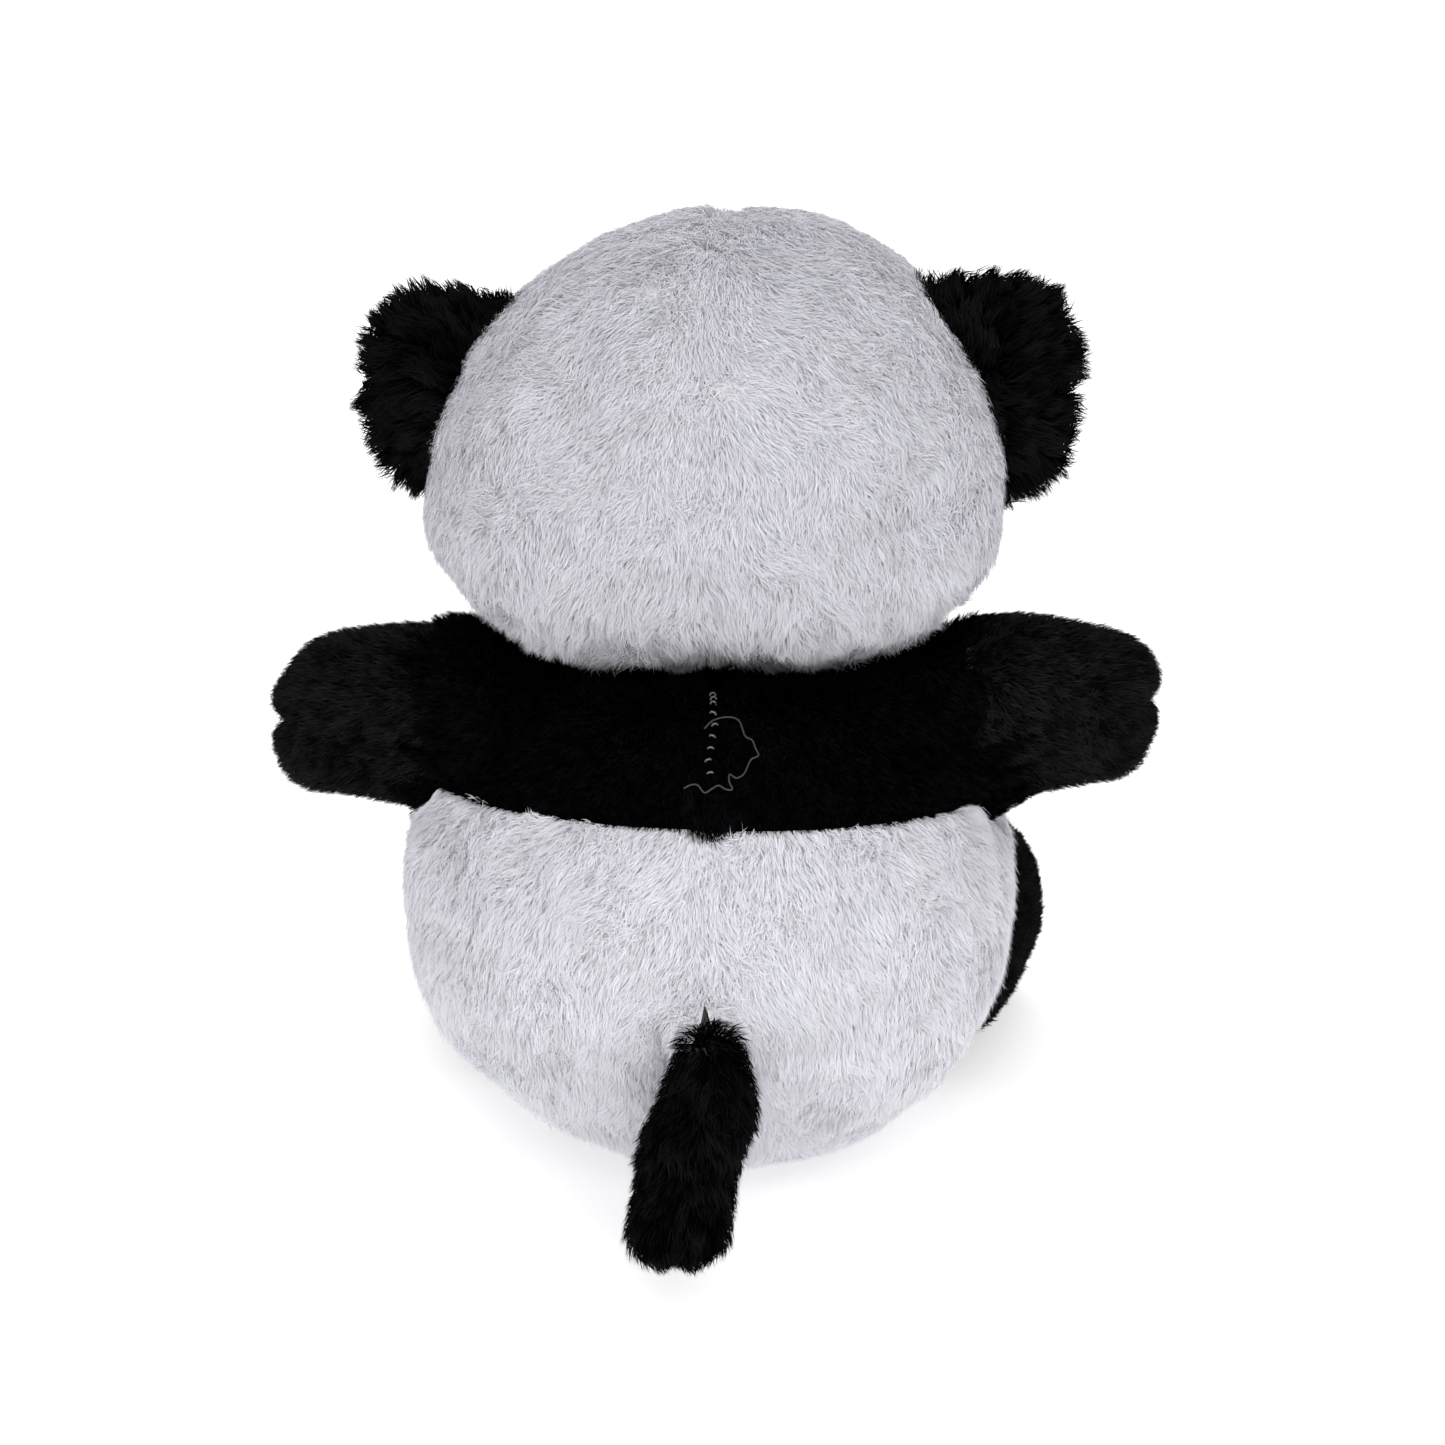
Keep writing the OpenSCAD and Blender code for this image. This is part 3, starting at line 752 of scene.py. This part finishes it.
def seam_dip(p):
    """Near 1 where the band's middle seam meets its lower edge, and dips over the rump."""
    rest = p - BODY_AT
    gap = np.hypot((rest[:, 0] + SEAM_DRIFT) / (7 * MM), (rest @ BODY_UP - BAND_EDGE) / (9 * MM))
    return np.exp(-gap**2) * (rest[:, 1] > 0)


def top_edge(p):
    """From 0 to 1 over the last stretch of the rump below the band."""
    high = smooth(((p - BODY_AT) @ BODY_UP - (BAND_EDGE - 6 * MM)) / (6 * MM))
    return 0.6 * high * (1 - seam_dip(p)) * smooth((86 * MM - np.abs(p[:, 0])) / (20 * MM))


def body_nap(p, n):
    """The rump is combed down and out from the middle seam, and its top edge stands over the band."""
    rest = p - BODY_AT
    across = rest[:, :1] + SEAM_DRIFT * (rest[:, 1:2] > 0)
    out = np.tanh(across / (8 * MM)) * X * (0.4 * smooth(1 - np.abs(across) / (60 * MM)))
    return out - Z * (1 - 2.4 * top_edge(p)[:, None])


def body_limbs():
    """Every limb on the body: its root's middle, the radius of the root's skin, and how softly
    the body's skin runs onto it above and below."""
    limbs = [(arm_root(side), arm_skin(side), 50 * MM, 12 * MM) for side in SIDES.values()]
    limbs += [(leg_root(side), LEG_SKIN, 24 * MM, 24 * MM) for side in SIDES.values()]
    return limbs + [(TAIL_START, TAIL_SKIN, 12 * MM, 12 * MM)]


def arm_root(side):
    # the right shoulder is stuffed a little higher than the left one
    return mirrored(SHOULDER, side) + Z * (6 * MM if side < 0 else -2 * MM)


def arm_skin(side):
    """Radius of an arm's round root, at the backing."""
    return 27 * MM if side < 0 else 28 * MM


def leg_root(side):
    return mirrored(HIP + X * 1 * MM, side) - leg_line(side) * 7 * MM - Z * 1 * MM


def leg_line(side):
    return np.array([side * math.sin(LEG_YAW), -math.cos(LEG_YAW), 0])


def body():
    form, core = body_form()
    limbs = body_limbs()

    def keep(middle):
        solid = ~near_ball(NECK_TOP, 17 * MM)(middle)
        for at, radius, _, _ in limbs:
            solid &= ~near_ball(at, radius + 1.2 * MM)(middle)
        return solid

    def bare(roots):
        return (roots[:, 2] < 1.6 * MM) | near_ball(TAIL_START, TAIL_SKIN + 3 * MM)(roots)

    def white_scale(roots):
        pressed = smooth((roots[:, 2] - 1 * MM) / (14 * MM))
        return (0.4 + 0.6 * pressed) * (1 - 0.4 * seam_dip(roots)) * (1 - 0.15 * top_edge(roots))

    def band_scale(roots):
        rest = roots - BODY_AT
        height = rest @ BODY_UP
        edge = smooth((height - BAND_EDGE) / (8 * MM))
        parted = (np.abs(rest[:, 0] + SEAM_DRIFT) < 4 * MM) & (rest[:, 1] > 0) & (height > 42 * MM)
        return ((0.55 + 0.45 * edge) * np.where(parted, 0.45, 1.0)
                + 1.1 * seam_dip(roots) * (height < BAND_EDGE + 9 * MM))

    def lie_down(roots):
        return -0.9 * seam_dip(roots)

    panels = [("rump_left_panel", RUMP_LEFT, RUMP_PILE), ("rump_right_panel", RUMP_RIGHT, RUMP_PILE),
              ("belly_panel", BELLY, BELLY_PILE), ("seat_panel", SEAT, SHORT_PILE)]
    for seed, (node, number, pile) in enumerate(panels):
        plush_piece(node + "_plush", form, number, "torso", WHITE_PLUSH, pile, body_nap,
                    (node,), 100 + 10 * seed, white_scale, keep, bare, top_edge)
    for seed, (node, number) in enumerate(
            [("band_back_left", BAND_LEFT), ("band_back_right", BAND_RIGHT), ("chest_panel", CHEST)]):
        plush_piece(node + "_plush", form, number, "torso", BLACK_PLUSH, BAND_PILE, band_nap,
                    (node,), 200 + 10 * seed, band_scale, keep, bare, lie_down)
    hollows = [(at, radius + 3 * MM) for at, radius, _, _ in limbs]
    stuffing_piece("body_filling", core, "torso", "body_stuffing", 4 * MM, 300, hollows)
    closing_stitches(form)


# ---------------------------------------------------------------- head

def head_form(level=5):
    seam = (HEAD_SEAM - HEAD_AT[1]) / HEAD_R

    def panel(middle):
        return np.where(middle[:, 1] > seam, np.where(middle[:, 0] > 0, 0, 1),
                        np.where(middle[:, 0] > 0, 2, 3))

    form = cut_ball(level, [((1, 0, 0), 0), ((0, 1, 0), seam)], panel)
    form.points = head_shape(form.directions) + HEAD_AT
    form.points += form.normals() * (1.4 * MM * swell(form.points, 60 * MM, 5)
                                     + 0.7 * MM * swell(form.points, 26 * MM, 6))[:, None]
    rest = form.points - HEAD_AT
    centre = np.abs(form.directions[:, 0]) * HEAD_R
    crown = np.abs(form.directions[:, 1] - seam) * HEAD_R
    behind = smooth((rest[:, 1] + 30 * MM) / (20 * MM))
    fill_out(form, np.minimum(crown, np.where(rest[:, 1] > 0, centre, 1)), 0.9, 3 * MM)
    groove(form, centre / np.maximum(behind, 0.05), 1.9 * MM, 6 * MM)
    groove(form, crown, 1.0 * MM, 6 * MM)
    return form


def head_shape(d):
    """A wide head, round at the crown and fuller at the cheeks."""
    half = np.array([HEAD_R + HEAD_C, HEAD_R - PILE_STAND, HEAD_R - 1 * MM])
    power = 2 + 0.7 * smooth(-d[:, 2] / 0.8)
    reach = (np.abs(d[:, 0]) ** power + np.abs(d[:, 1]) ** power
             + np.abs(d[:, 2]) ** power) ** (-1 / power)
    p = d * reach[:, None] * half
    low = smooth(-d[:, 2] / 0.6)
    p[:, 2] *= 1 - 0.19 * low
    p[:, 0] *= 1 + 0.078 * np.exp(-((p[:, 2] + 31 * MM) / (22 * MM)) ** 2)
    p[:, 0] *= 1 - 0.05 * smooth((p[:, 2] + 3 * MM) / (50 * MM))
    p[:, 0] -= 4 * MM * smooth(p[:, 2] / (65 * MM))
    return p


def head_nap(p, n):
    """Combed out from the back seam over the crown, then down to a fringe over the neck."""
    rest = p - HEAD_AT
    high = smooth((rest[:, 2:] + 25 * MM) / (80 * MM))
    side = np.tanh(rest[:, :1] / (12 * MM))
    front = rest[:, 1:2] < HEAD_SEAM - HEAD_AT[1]
    out = side * X * (0.25 + 0.9 * high)
    back = np.where(front, 0.0, 0.35 * high) * Y
    down = -Z * (1.25 - 0.75 * high)
    radial = unit(rest * [1, 0, 1])
    face = radial * np.where(front, 0.7, 0.0)
    return out + back + down + face


def head():
    form = head_form()
    neck = near_ball(HEAD_AT - Z * HEAD_R, 23 * MM)
    patches = [patch_distance(side) for side in SIDES.values()]

    def keep(middle):
        return ~neck(middle)

    def bare(roots):
        hidden = near_ball(MUZZLE_AT, MUZZLE_R - 5 * MM)(roots)
        for distance in patches:
            hidden |= distance(roots) < 0.9
        return hidden

    def scale(roots):
        rest = roots - HEAD_AT
        face = smooth(-(rest[:, 1] + 25 * MM) / (35 * MM))
        fringe = smooth(-(rest[:, 2] + 30 * MM) / (25 * MM))
        locks = 0.45 + 0.35 * swell(roots, 12 * MM, 71)
        return (1 - 0.3 * face) * (1 + locks * fringe)

    def stand(roots):
        """Sleek over the crown, shaggier towards the fringe."""
        height = (roots - HEAD_AT)[:, 2]
        return 0.8 * smooth(-(height - 20 * MM) / (75 * MM)) - 0.45

    panels = [("head_back_left", 0, HEAD_PILE), ("head_back_right", 1, HEAD_PILE),
              ("face_left", 2, FACE_PILE), ("face_right", 3, FACE_PILE)]
    for seed, (node, number, pile) in enumerate(panels):
        plush_piece(node + "_plush", form, number, "head", HEAD_SHADED_PLUSH, pile, head_nap,
                    (node,), 400 + 10 * seed, scale, keep, bare, stand)
    hollows = [(NECK, 25 * MM)]
    hollows += [(eye_place(side, HEAD_R - 9 * MM), 9 * MM) for side in SIDES.values()]
    stuffing_piece("head_filling", form, "head", "head_stuffing", 4 * MM, 460, hollows)
    neck_filling()


def neck_filling():
    """The column of fibre between body and head, round at its top where the head nods."""
    form = cut_ball(4, [], lambda middle: np.zeros(len(middle), int))
    points = form.directions * 18 * MM
    points[:, 2] = np.where(points[:, 2] < 0, points[:, 2] * 1.15, points[:, 2])
    form.points = points + NECK
    stuffing_piece("neck_filling", form, "neck", "neck_stuffing", 0, 470)


def eye_place(side, distance):
    """A point on the line from the head's middle out through an eye."""
    out = np.array([side * math.sin(EYE_YAW) * math.cos(EYE_PITCH),
                    -math.cos(EYE_YAW) * math.cos(EYE_PITCH), math.sin(EYE_PITCH)])
    return HEAD_AT + np.array([side * HEAD_C, 0, 0]) + out * distance


# ---------------------------------------------------------------- arms, legs and tail

def limb_form(level, half_cut, start, line, length, radii):
    """A round limb along a line, from its root's middle to its tip's, as a stretched ball.
    half_cut is the normal of the plane through its two seams."""
    line = unit(line)
    form = cut_ball(level, [(half_cut, 0)], lambda middle: np.where(middle @ half_cut > 0, 0, 1))
    d = form.directions
    along = smooth((d @ line + 0.45) / 0.9)
    radius = radii[0] + (radii[1] - radii[0]) * along
    form.points = start + d * radius[:, None] + line * (length * along)[:, None]
    return form


def along_limb(start, line, droop, fan=0.25, tip=None):
    """A nap that runs down a limb, hanging a little, and fanning out all round it."""
    def nap(p, n):
        rest = p - start
        out = (rest @ line)[:, None]
        ahead = 0 if tip is None else 0.5 * smooth((out - tip) / (25 * MM))
        return line * (1 - ahead) - droop * Z + fan * unit(rest - out * line)
    return nap


def grown_from(start, line, least, soft=16 * MM):
    """Short pile at a limb's root, and full pile past it."""
    return lambda roots: least + (1 - least) * smooth(((roots - start) @ line + 10 * MM) / soft)


def hidden_root(start, line, depth):
    return lambda roots: (roots - start) @ line < -depth


def arms():
    # the right arm's seam sits higher than the left one's
    for name, side, rise, tip_r, longer in (("left", 1, 1 * MM, 22.5 * MM, 5 * MM),
                                            ("right", -1, 6 * MM, 21.5 * MM, 5 * MM)):
        start, line = arm_root(side), side * X
        tilt = math.radians(10)
        half_cut = np.array([0, -math.sin(tilt), math.cos(tilt)])
        length = ARM_TIP - ARM_R - SHOULDER[0]
        form = limb_form(4, half_cut, start, line, length + longer, (arm_skin(side), tip_r))
        d = form.directions
        tip = smooth((d @ line - 0.1) / 0.9)
        form.points -= np.outer(3 * MM * tip * (1 - d @ half_cut), half_cut)
        form.points += form.normals() * (0.9 * MM * swell(form.points, 32 * MM, 20 + side))[:, None]
        form.points += np.outer(rise * tip * (1 - (d @ half_cut) ** 2), half_cut)
        gap = np.abs(d @ half_cut) * arm_skin(side)
        fill_out(form, gap, 0.7, 2 * MM)
        groove(form, gap, (0.9 + 3.4 * tip**2) * MM, 4.2 * MM)
        for number, part in enumerate(("top", "under")):
            node = f"{name}_arm_{part}"
            plush_piece(node + "_plush", form, number, f"{name}_arm", ARM_SHEEN_PLUSH, ARM_PILE,
                        along_limb(start, line, 0.25), (node,),
                        500 + 20 * number + 5 * side, grown_from(start, line, 0.7), None,
                        hidden_root(start, line, 16 * MM))
        stuffing_piece(f"{name}_arm_filling", form, f"{name}_arm", f"{name}_arm_stuffing",
                       3 * MM, 560 + side)


def legs():
    for name, side in SIDES.items():
        start, line = leg_root(side), leg_line(side)
        outward = unit(np.cross(Z, line)) * side
        reach = LEG_LEN + 7 * MM
        form = limb_form(4, outward, start, line, reach, (LEG_SKIN, FOOT_R - 0.5 * MM))
        form.points += np.outer(3 * MM * smooth((form.points - start) @ line / reach), Z)
        form.points += form.normals() * (0.8 * MM * swell(form.points, 34 * MM, 30 + side))[:, None]
        gap = np.abs(form.directions @ outward) * LEG_SKIN
        fill_out(form, gap, 0.7, 2 * MM)
        groove(form, gap, 0.9 * MM, 4 * MM)
        sole = reach + SOLE_OUT - 4 * MM
        out = (form.points - start) @ line
        form.points -= np.outer(np.maximum(out - sole, 0) * 0.85, line)
        form.points[:, 2] = np.maximum(form.points[:, 2], 1.2 * MM)
        middle = form.points[form.tris].mean(1)
        form.panel = np.where((middle - start) @ line > sole, 2, form.panel)
        floor = grown_from(mirrored([0, 0, 0.01], side), Z, 0.5, 14 * MM)
        root = grown_from(start, line, 0.7)

        def scale(roots, root=root, floor=floor):
            return root(roots) * floor(roots)

        for number, part in enumerate(("leg_outer", "leg_inner", "sole")):
            node = f"{name}_{part}"
            pile = SHORT_PILE if part == "sole" else LEG_PILE
            plush_piece(node + "_plush", form, number, f"{name}_leg", DARK_HIGHLIT_PLUSH, pile,
                        along_limb(start, line, 0.35, 0.3, reach), (node,),
                        600 + 20 * number + 5 * side, scale, None,
                        hidden_root(start, line, 15 * MM))
        stuffing_piece(f"{name}_leg_filling", form, f"{name}_leg", f"{name}_leg_stuffing",
                       3 * MM, 680 + side)


def tail():
    """A slim root that swells into a round-ended tail with two lobes, leaning to its left."""
    line = np.array([0, math.sin(TAIL_TILT), -math.cos(TAIL_TILT)])
    form = limb_form(4, X, TAIL_START, line, TAIL_LEN, (TAIL_SKIN, TAIL_TIP_R - 4 * MM))
    along = np.clip((form.points - TAIL_START) @ line / TAIL_LEN, 0, 1.3)
    swollen = 1 + 0.35 * np.exp(-((along - 0.35) / 0.22) ** 2)
    axis = TAIL_START + np.outer(np.clip(along, 0, 1) * TAIL_LEN, line)
    form.points = axis + (form.points - axis) * swollen[:, None]
    form.points += np.outer(6 * MM * along - 3.5 * MM * np.exp(-((along - 0.2) / 0.25) ** 2), X)
    gap = np.abs(form.directions[:, 0]) * TAIL_TIP_R
    tip = smooth((along - 0.95) / 0.3)
    groove(form, gap, (0.7 + 3.2 * tip**2) * MM, 3 * MM)
    for number, part in enumerate(("left", "right")):
        plush_piece(f"tail_{part}_plush", form, number, "tail", DARK_HIGHLIT_PLUSH, TAIL_PILE,
                    along_limb(TAIL_START, line, 0), (f"tail_{part}",),
                    700 + 20 * number)
    stuffing_piece("tail_filling", form, "tail", "tail_stuffing", 3 * MM, 760)


# ---------------------------------------------------------------- ears

def ears():
    # the right ear stands a little higher and larger than the left one
    for name, side, size, lift, taller in (("left", 1, 0.96, -1.5 * MM, 0.02),
                                           ("right", -1, 1.03, 1.5 * MM, 0.06)):
        centre = HEAD_AT + np.array([side * (HEAD_C + 65 * MM), 5 * MM, 18 * MM + lift])
        form = cut_ball(4, [((0, 1, 0), 0)], lambda middle: np.where(middle[:, 1] > 0, 0, 1))
        d = form.directions
        skin = (EAR_R - 3 * MM) * size
        turn = np.arctan2(d[:, 2], side * d[:, 0])
        corner = 1 - 0.05 * np.cos(4 * turn) - taller * np.cos(2 * (turn + math.radians(14)))
        form.points = centre + d * np.array([skin, 5 * MM, skin]) * corner[:, None]
        cup = ((form.points - centre)[:, [0, 2]] ** 2).sum(1) / skin**2
        form.points[:, 1] -= 3 * MM * cup
        form.points += form.normals() * (0.7 * MM * swell(form.points, 24 * MM, 40 + side))[:, None]
        hub = HEAD_AT + np.array([side * HEAD_C, 0, 0])
        out = unit(centre - hub)

        def keep(middle, hub=hub):
            return np.linalg.norm(middle - hub, axis=1) > HEAD_R - 11 * MM

        def nap(p, n, centre=centre, out=out):
            return unit((p - centre) * [1, 0, 1]) + 0.6 * out

        for number, part in enumerate(("back", "front")):
            node = f"{name}_ear_{part}"
            plush_piece(node + "_plush", form, number, f"{name}_ear", DARK_HIGHLIT_PLUSH, EAR_PILE, nap,
                        (node,), 800 + 20 * number + 5 * side, None, keep)


# ---------------------------------------------------------------- face

PATCH_HALF = np.array([13, 19]) * MM      # half width and half height of an oval eye patch
PATCH_TURN = math.radians(32)             # its top leans inwards, so that it droops outwards
PATCH_DROP = 3.5 * MM                     # its middle, below the eye


def eye_axes(side):
    """The eye's place on the head, with the patch's long and short directions."""
    out = unit(eye_place(side, 1) - eye_place(side, 0))
    across = unit(np.cross(Z, out))
    up = np.cross(out, across)
    turn = side * PATCH_TURN
    long = up * math.cos(turn) + across * math.sin(turn)
    return out, long, np.cross(long, out)


def patch_distance(side):
    """How far a point is from the middle of an eye patch, where 1 is the patch's edge."""
    out, long, short = eye_axes(side)
    middle = eye_place(side, HEAD_R) - long * PATCH_DROP

    def distance(p):
        rest = p - middle
        inside = np.hypot(rest @ short / PATCH_HALF[0], rest @ long / PATCH_HALF[1])
        return np.where(rest @ out > -30 * MM, inside, 9)
    return distance


def on_head(p, lift):
    """The head's backing under points p, seen from the head's middle, raised by lift."""
    skin = head_shape(unit(p - HEAD_AT)) + HEAD_AT
    return skin + unit(skin - HEAD_AT) * lift


def eye_patches():
    rings, spokes = 10, 48
    for name, side in SIDES.items():
        out, long, short = eye_axes(side)
        middle = eye_place(side, HEAD_R) - long * PATCH_DROP
        ring = np.repeat(np.arange(1, rings + 1) / rings, spokes)
        angle = np.tile(np.arange(spokes) * 2 * math.pi / spokes, rings)
        flat = middle + np.outer(ring * np.cos(angle) * PATCH_HALF[0], short)
        flat += np.outer(ring * np.sin(angle) * PATCH_HALF[1], long)
        flat = np.concatenate([middle[None], flat])
        rise = np.concatenate([[1.0], np.sqrt(1 - 0.98 * ring**2)])
        points = on_head(flat, (0.2 * MM + 3.2 * MM * rise)[:, None])
        tris = [(0, 1 + k, 1 + (k + 1) % spokes) for k in range(spokes)]
        for r in range(rings - 1):
            for k in range(spokes):
                a, b = 1 + r * spokes + k, 1 + r * spokes + (k + 1) % spokes
                tris += [(a, a + spokes, b + spokes), (a, b + spokes, b)]
        tris = np.array(tris)
        form = Form(points, tris, np.zeros(len(tris), int))
        if np.sum(form.normals()[0] * out) < 0:
            form.tris = tris[:, ::-1]

        def nap(p, n, middle=middle):
            return unit(p - middle) - 0.5 * Z

        def scale(roots, side=side):
            return 0.75 + 0.25 * smooth((patch_distance(side)(roots) - 0.4) / 0.4)

        eye = near_ball(eye_place(side, HEAD_R + 3 * MM), 5.5 * MM)
        plush_piece(f"{name}_eye_patch_plush", form, 0, "head", BLACK_PLUSH, SHORT_PILE, nap,
                    (f"{name}_eye_patch",), 900 + side, scale, None, eye)


def muzzle():
    """A round snout with a shallow cleft below the nose."""
    form = cut_ball(4, [], lambda middle: np.zeros(len(middle), int))
    d = form.directions
    form.points = MUZZLE_AT + d * np.array([25.5, 23.5, 22.5]) * MM
    below = smooth(-d[:, 2] / 0.5) * smooth(-d[:, 1] / 0.4)
    groove(form, np.abs(d[:, 0]) * MUZZLE_R, 1.2 * MM * below, 4 * MM)
    form.points += form.normals() * (0.5 * MM * swell(form.points, 20 * MM, 51))[:, None]

    def outside(p):
        skin = on_head(p, 0)
        return np.linalg.norm(p - HEAD_AT, axis=1) > np.linalg.norm(skin - HEAD_AT, axis=1)

    def nap(p, n):
        return unit((p - MUZZLE_AT) * [1, 0, 1]) - 0.3 * Z

    nose_line = np.array([0, -math.sin(math.radians(64)), math.cos(math.radians(64))])
    nose = near_ball(MUZZLE_AT + nose_line * MUZZLE_R, 6.5 * MM)

    def keep(middle):
        return outside(middle + unit(middle - HEAD_AT) * 2 * MM)

    plush_piece("muzzle_plush", form, 0, "head", HEAD_SHADED_PLUSH, SHORT_PILE, nap,
                ("muzzle",), 950, None, keep, nose)
    core = Form(form.directions, form.tris, form.panel)
    core.points = MUZZLE_AT - Y * 5 * MM + d * np.array([18, 12, 17]) * MM
    stuffing_piece("muzzle_filling", core, "head", "muzzle_stuffing", 0, 960)


# ---------------------------------------------------------------- threads

def tube(path, radius, sides=8):
    """Points and triangles of a round thread along a path, closed at both ends."""
    path = np.asarray(path)
    step = np.gradient(path, axis=0)
    along = unit(step)
    side = unit(np.cross(along, np.where(np.abs(along[:, 2:]) > 0.9, X, Z)))
    up = np.cross(side, along)
    turn = np.arange(sides) * 2 * math.pi / sides
    ring = side[:, None] * np.cos(turn)[None, :, None] + up[:, None] * np.sin(turn)[None, :, None]
    points = np.concatenate([(path[:, None] + ring * radius).reshape(-1, 3), path[[0, -1]]])
    last = len(path) - 1
    tris = []
    for k in range(sides):
        m = (k + 1) % sides
        for r in range(last):
            a, b = r * sides + k, r * sides + m
            tris += [(a, a + sides, b + sides), (a, b + sides, b)]
        tris += [(len(points) - 2, k, m), (len(points) - 1, last * sides + m, last * sides + k)]
    return points, np.array(tris)


def thread_piece(name, paths, radius, body, material, node):
    """One piece made of a thread along each of the paths."""
    parts = [tube(path, radius) for path in paths]
    starts = np.cumsum([0] + [len(points) for points, _ in parts])
    points = np.concatenate([points for points, _ in parts])
    tris = np.concatenate([tris + start for (_, tris), start in zip(parts, starts)])
    form = Form(points, tris, None)
    mesh = build_mesh(name, points, tris, form.normals(), np.full(len(points), 0.5),
                      np.zeros(len(points)), np.zeros(len(tris)))
    add_piece(name, mesh, body, [material], (node,))


def closing_stitches(form):
    """The ladder stitches in the parting of the band: short bowed rungs, none quite alike."""
    spread = np.random.default_rng(77)
    normals = form.normals()
    line, lifts = [], []
    for angle in np.radians(np.linspace(32, 55, 24)):
        near = np.exp((form.directions @ (BODY_BACK * math.cos(angle) + BODY_UP * math.sin(angle))
                       - 1) / 0.0006)
        line.append(near @ form.points / near.sum())
        lifts.append(near @ normals / near.sum())
    line, lifts = np.array(line), unit(lifts)
    gone = np.concatenate([[0], np.cumsum(np.linalg.norm(np.diff(line, axis=0), axis=1))])
    t = np.linspace(-1, 1, 9)
    rungs = []
    for place in np.linspace(0.02, 0.98, 9) * gone[-1]:
        root = np.array([np.interp(place, gone, line[:, k]) for k in range(3)])
        normal = unit([np.interp(place, gone, lifts[:, k]) for k in range(3)])
        path = root + np.outer(2.8 * MM - 0.9 * MM * t**4, normal)
        path += np.outer(t * 0.85 * MM + 0.2 * MM * spread.normal(), X)
        rungs.append(path + np.outer(t * 0.2 * MM * spread.normal(), np.cross(X, normal)))
    thread_piece("closing_rungs", rungs, 0.28 * MM, "torso", GREY_THREAD,
                 "closing_stitches")


def whipped_ring(middle, line, radius, count):
    """A thread that goes round in small slanting stitches."""
    turn = np.linspace(0, 2 * math.pi, count * 8, endpoint=False)
    first = unit(np.cross(line, Z + 0.1 * X))
    second = np.cross(line, first)
    wave = np.sin(turn * count)
    ring = middle + np.outer((radius + 0.5 * MM * wave) * np.cos(turn), first)
    ring += np.outer((radius + 0.5 * MM * wave) * np.sin(turn), second)
    return ring + np.outer(1.0 * MM * np.cos(turn * count), line)


def seam_rings():
    """The whipped seams at the neck and round each limb's root, sunk in the pile."""
    for name, side in SIDES.items():
        for part, body, root, line, skin in (
                ("arm", "shoulder", arm_root(side), side * X, arm_skin(side)),
                ("leg", "hip", leg_root(side), leg_line(side), LEG_SKIN)):
            back = 13 * MM
            ring = whipped_ring(root - line * back, line, math.sqrt(skin**2 - back**2), 40)
            thread_piece(f"{name}_{part}_whipping", [ring], 0.35 * MM, f"{name}_{body}",
                         BLACK_THREAD, f"{name}_{part}_stitching")
    line = np.array([0, math.sin(TAIL_TILT), -math.cos(TAIL_TILT)])
    ring = whipped_ring(TAIL_START - line * 3 * MM, line, TAIL_SKIN - 1 * MM, 16)
    thread_piece("tail_whipping", [ring], 0.35 * MM, "tail_root", BLACK_THREAD,
                 "tail_stitching")
    ring = whipped_ring(NECK_TOP - Z * 2 * MM, BODY_UP, 24 * MM, 36)
    thread_piece("neck_whipping", [ring], 0.35 * MM, "torso", BLACK_THREAD,
                 "neck_stitching")


# The loose thread's route over the band, in millimetres: sideways, and up the leaning axis.
THREAD_ROUTE = [
    (-2, 61), (-4, 63), (-7, 64), (-10, 64), (-12, 63), (-13, 61), (-14, 59), (-16, 58),
    (-17, 56), (-18, 54), (-16, 53), (-15, 51), (-14, 49), (-12, 48), (-10, 49), (-10, 47),
    (-11, 45), (-9, 45), (-7, 46), (-5, 45), (-3, 44), (-1, 46), (1, 46), (3, 45)]
THREAD_D = 0.5 * MM
THREAD_LIFT = 0.75 * MM


def loose_thread():
    route = np.array(THREAD_ROUTE) * MM
    ends = np.concatenate([route[:1], route, route[-1:]])
    flat = []
    for a, b, c, d in zip(ends, ends[1:], ends[2:], ends[3:]):
        for t in np.arange(0, 1, 0.25):
            flat.append(0.5 * (2 * b + (c - a) * t + (2 * a - 5 * b + 4 * c - d) * t**2
                               + (3 * b - a - 3 * c + d) * t**3))
    flat = np.array(flat + [route[-1]])
    deep = np.sqrt((BODY_R + THREAD_LIFT) ** 2 - (flat**2).sum(1))
    path = BODY_AT + np.outer(flat[:, 0], X) + np.outer(deep, BODY_BACK)
    path += np.outer(flat[:, 1], BODY_UP)
    curve = bpy.data.curves.new("loose_thread_end", "CURVE")
    curve.dimensions = "3D"
    curve.bevel_depth = THREAD_D / 2
    curve.bevel_resolution = 2
    curve.use_fill_caps = True
    spline = curve.splines.new("POLY")
    spline.points.add(len(path) - 1)
    for point, place in zip(spline.points, path):
        point.co = (*place, 1)
    curve.materials.append(LOOSE_THREAD)
    thread = bpy.data.objects.new("loose_thread_end", curve)
    bpy.context.scene.collection.objects.link(thread)
    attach(thread, "torso")
    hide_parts("loose_thread")


def finish_kept_nodes():
    """Materials for the CAD pieces that stay: eyes, nose, washers and the mouth's thread."""
    for name, node in frame["nodes"].items():
        if name in ("left_eye", "right_eye"):
            material = EYE_PLASTIC
        elif name == "nose":
            material = NOSE_PLASTIC
        elif name.endswith("_washer"):
            material = WASHER_PLASTIC
        elif name == "mouth_thread":
            material = BLACK_THREAD
        else:
            continue
        for place in node.material_slots:
            place.material = material


loose_thread()
seam_rings()
body()
head()
arms()
legs()
tail()
ears()
eye_patches()
muzzle()
finish_kept_nodes()
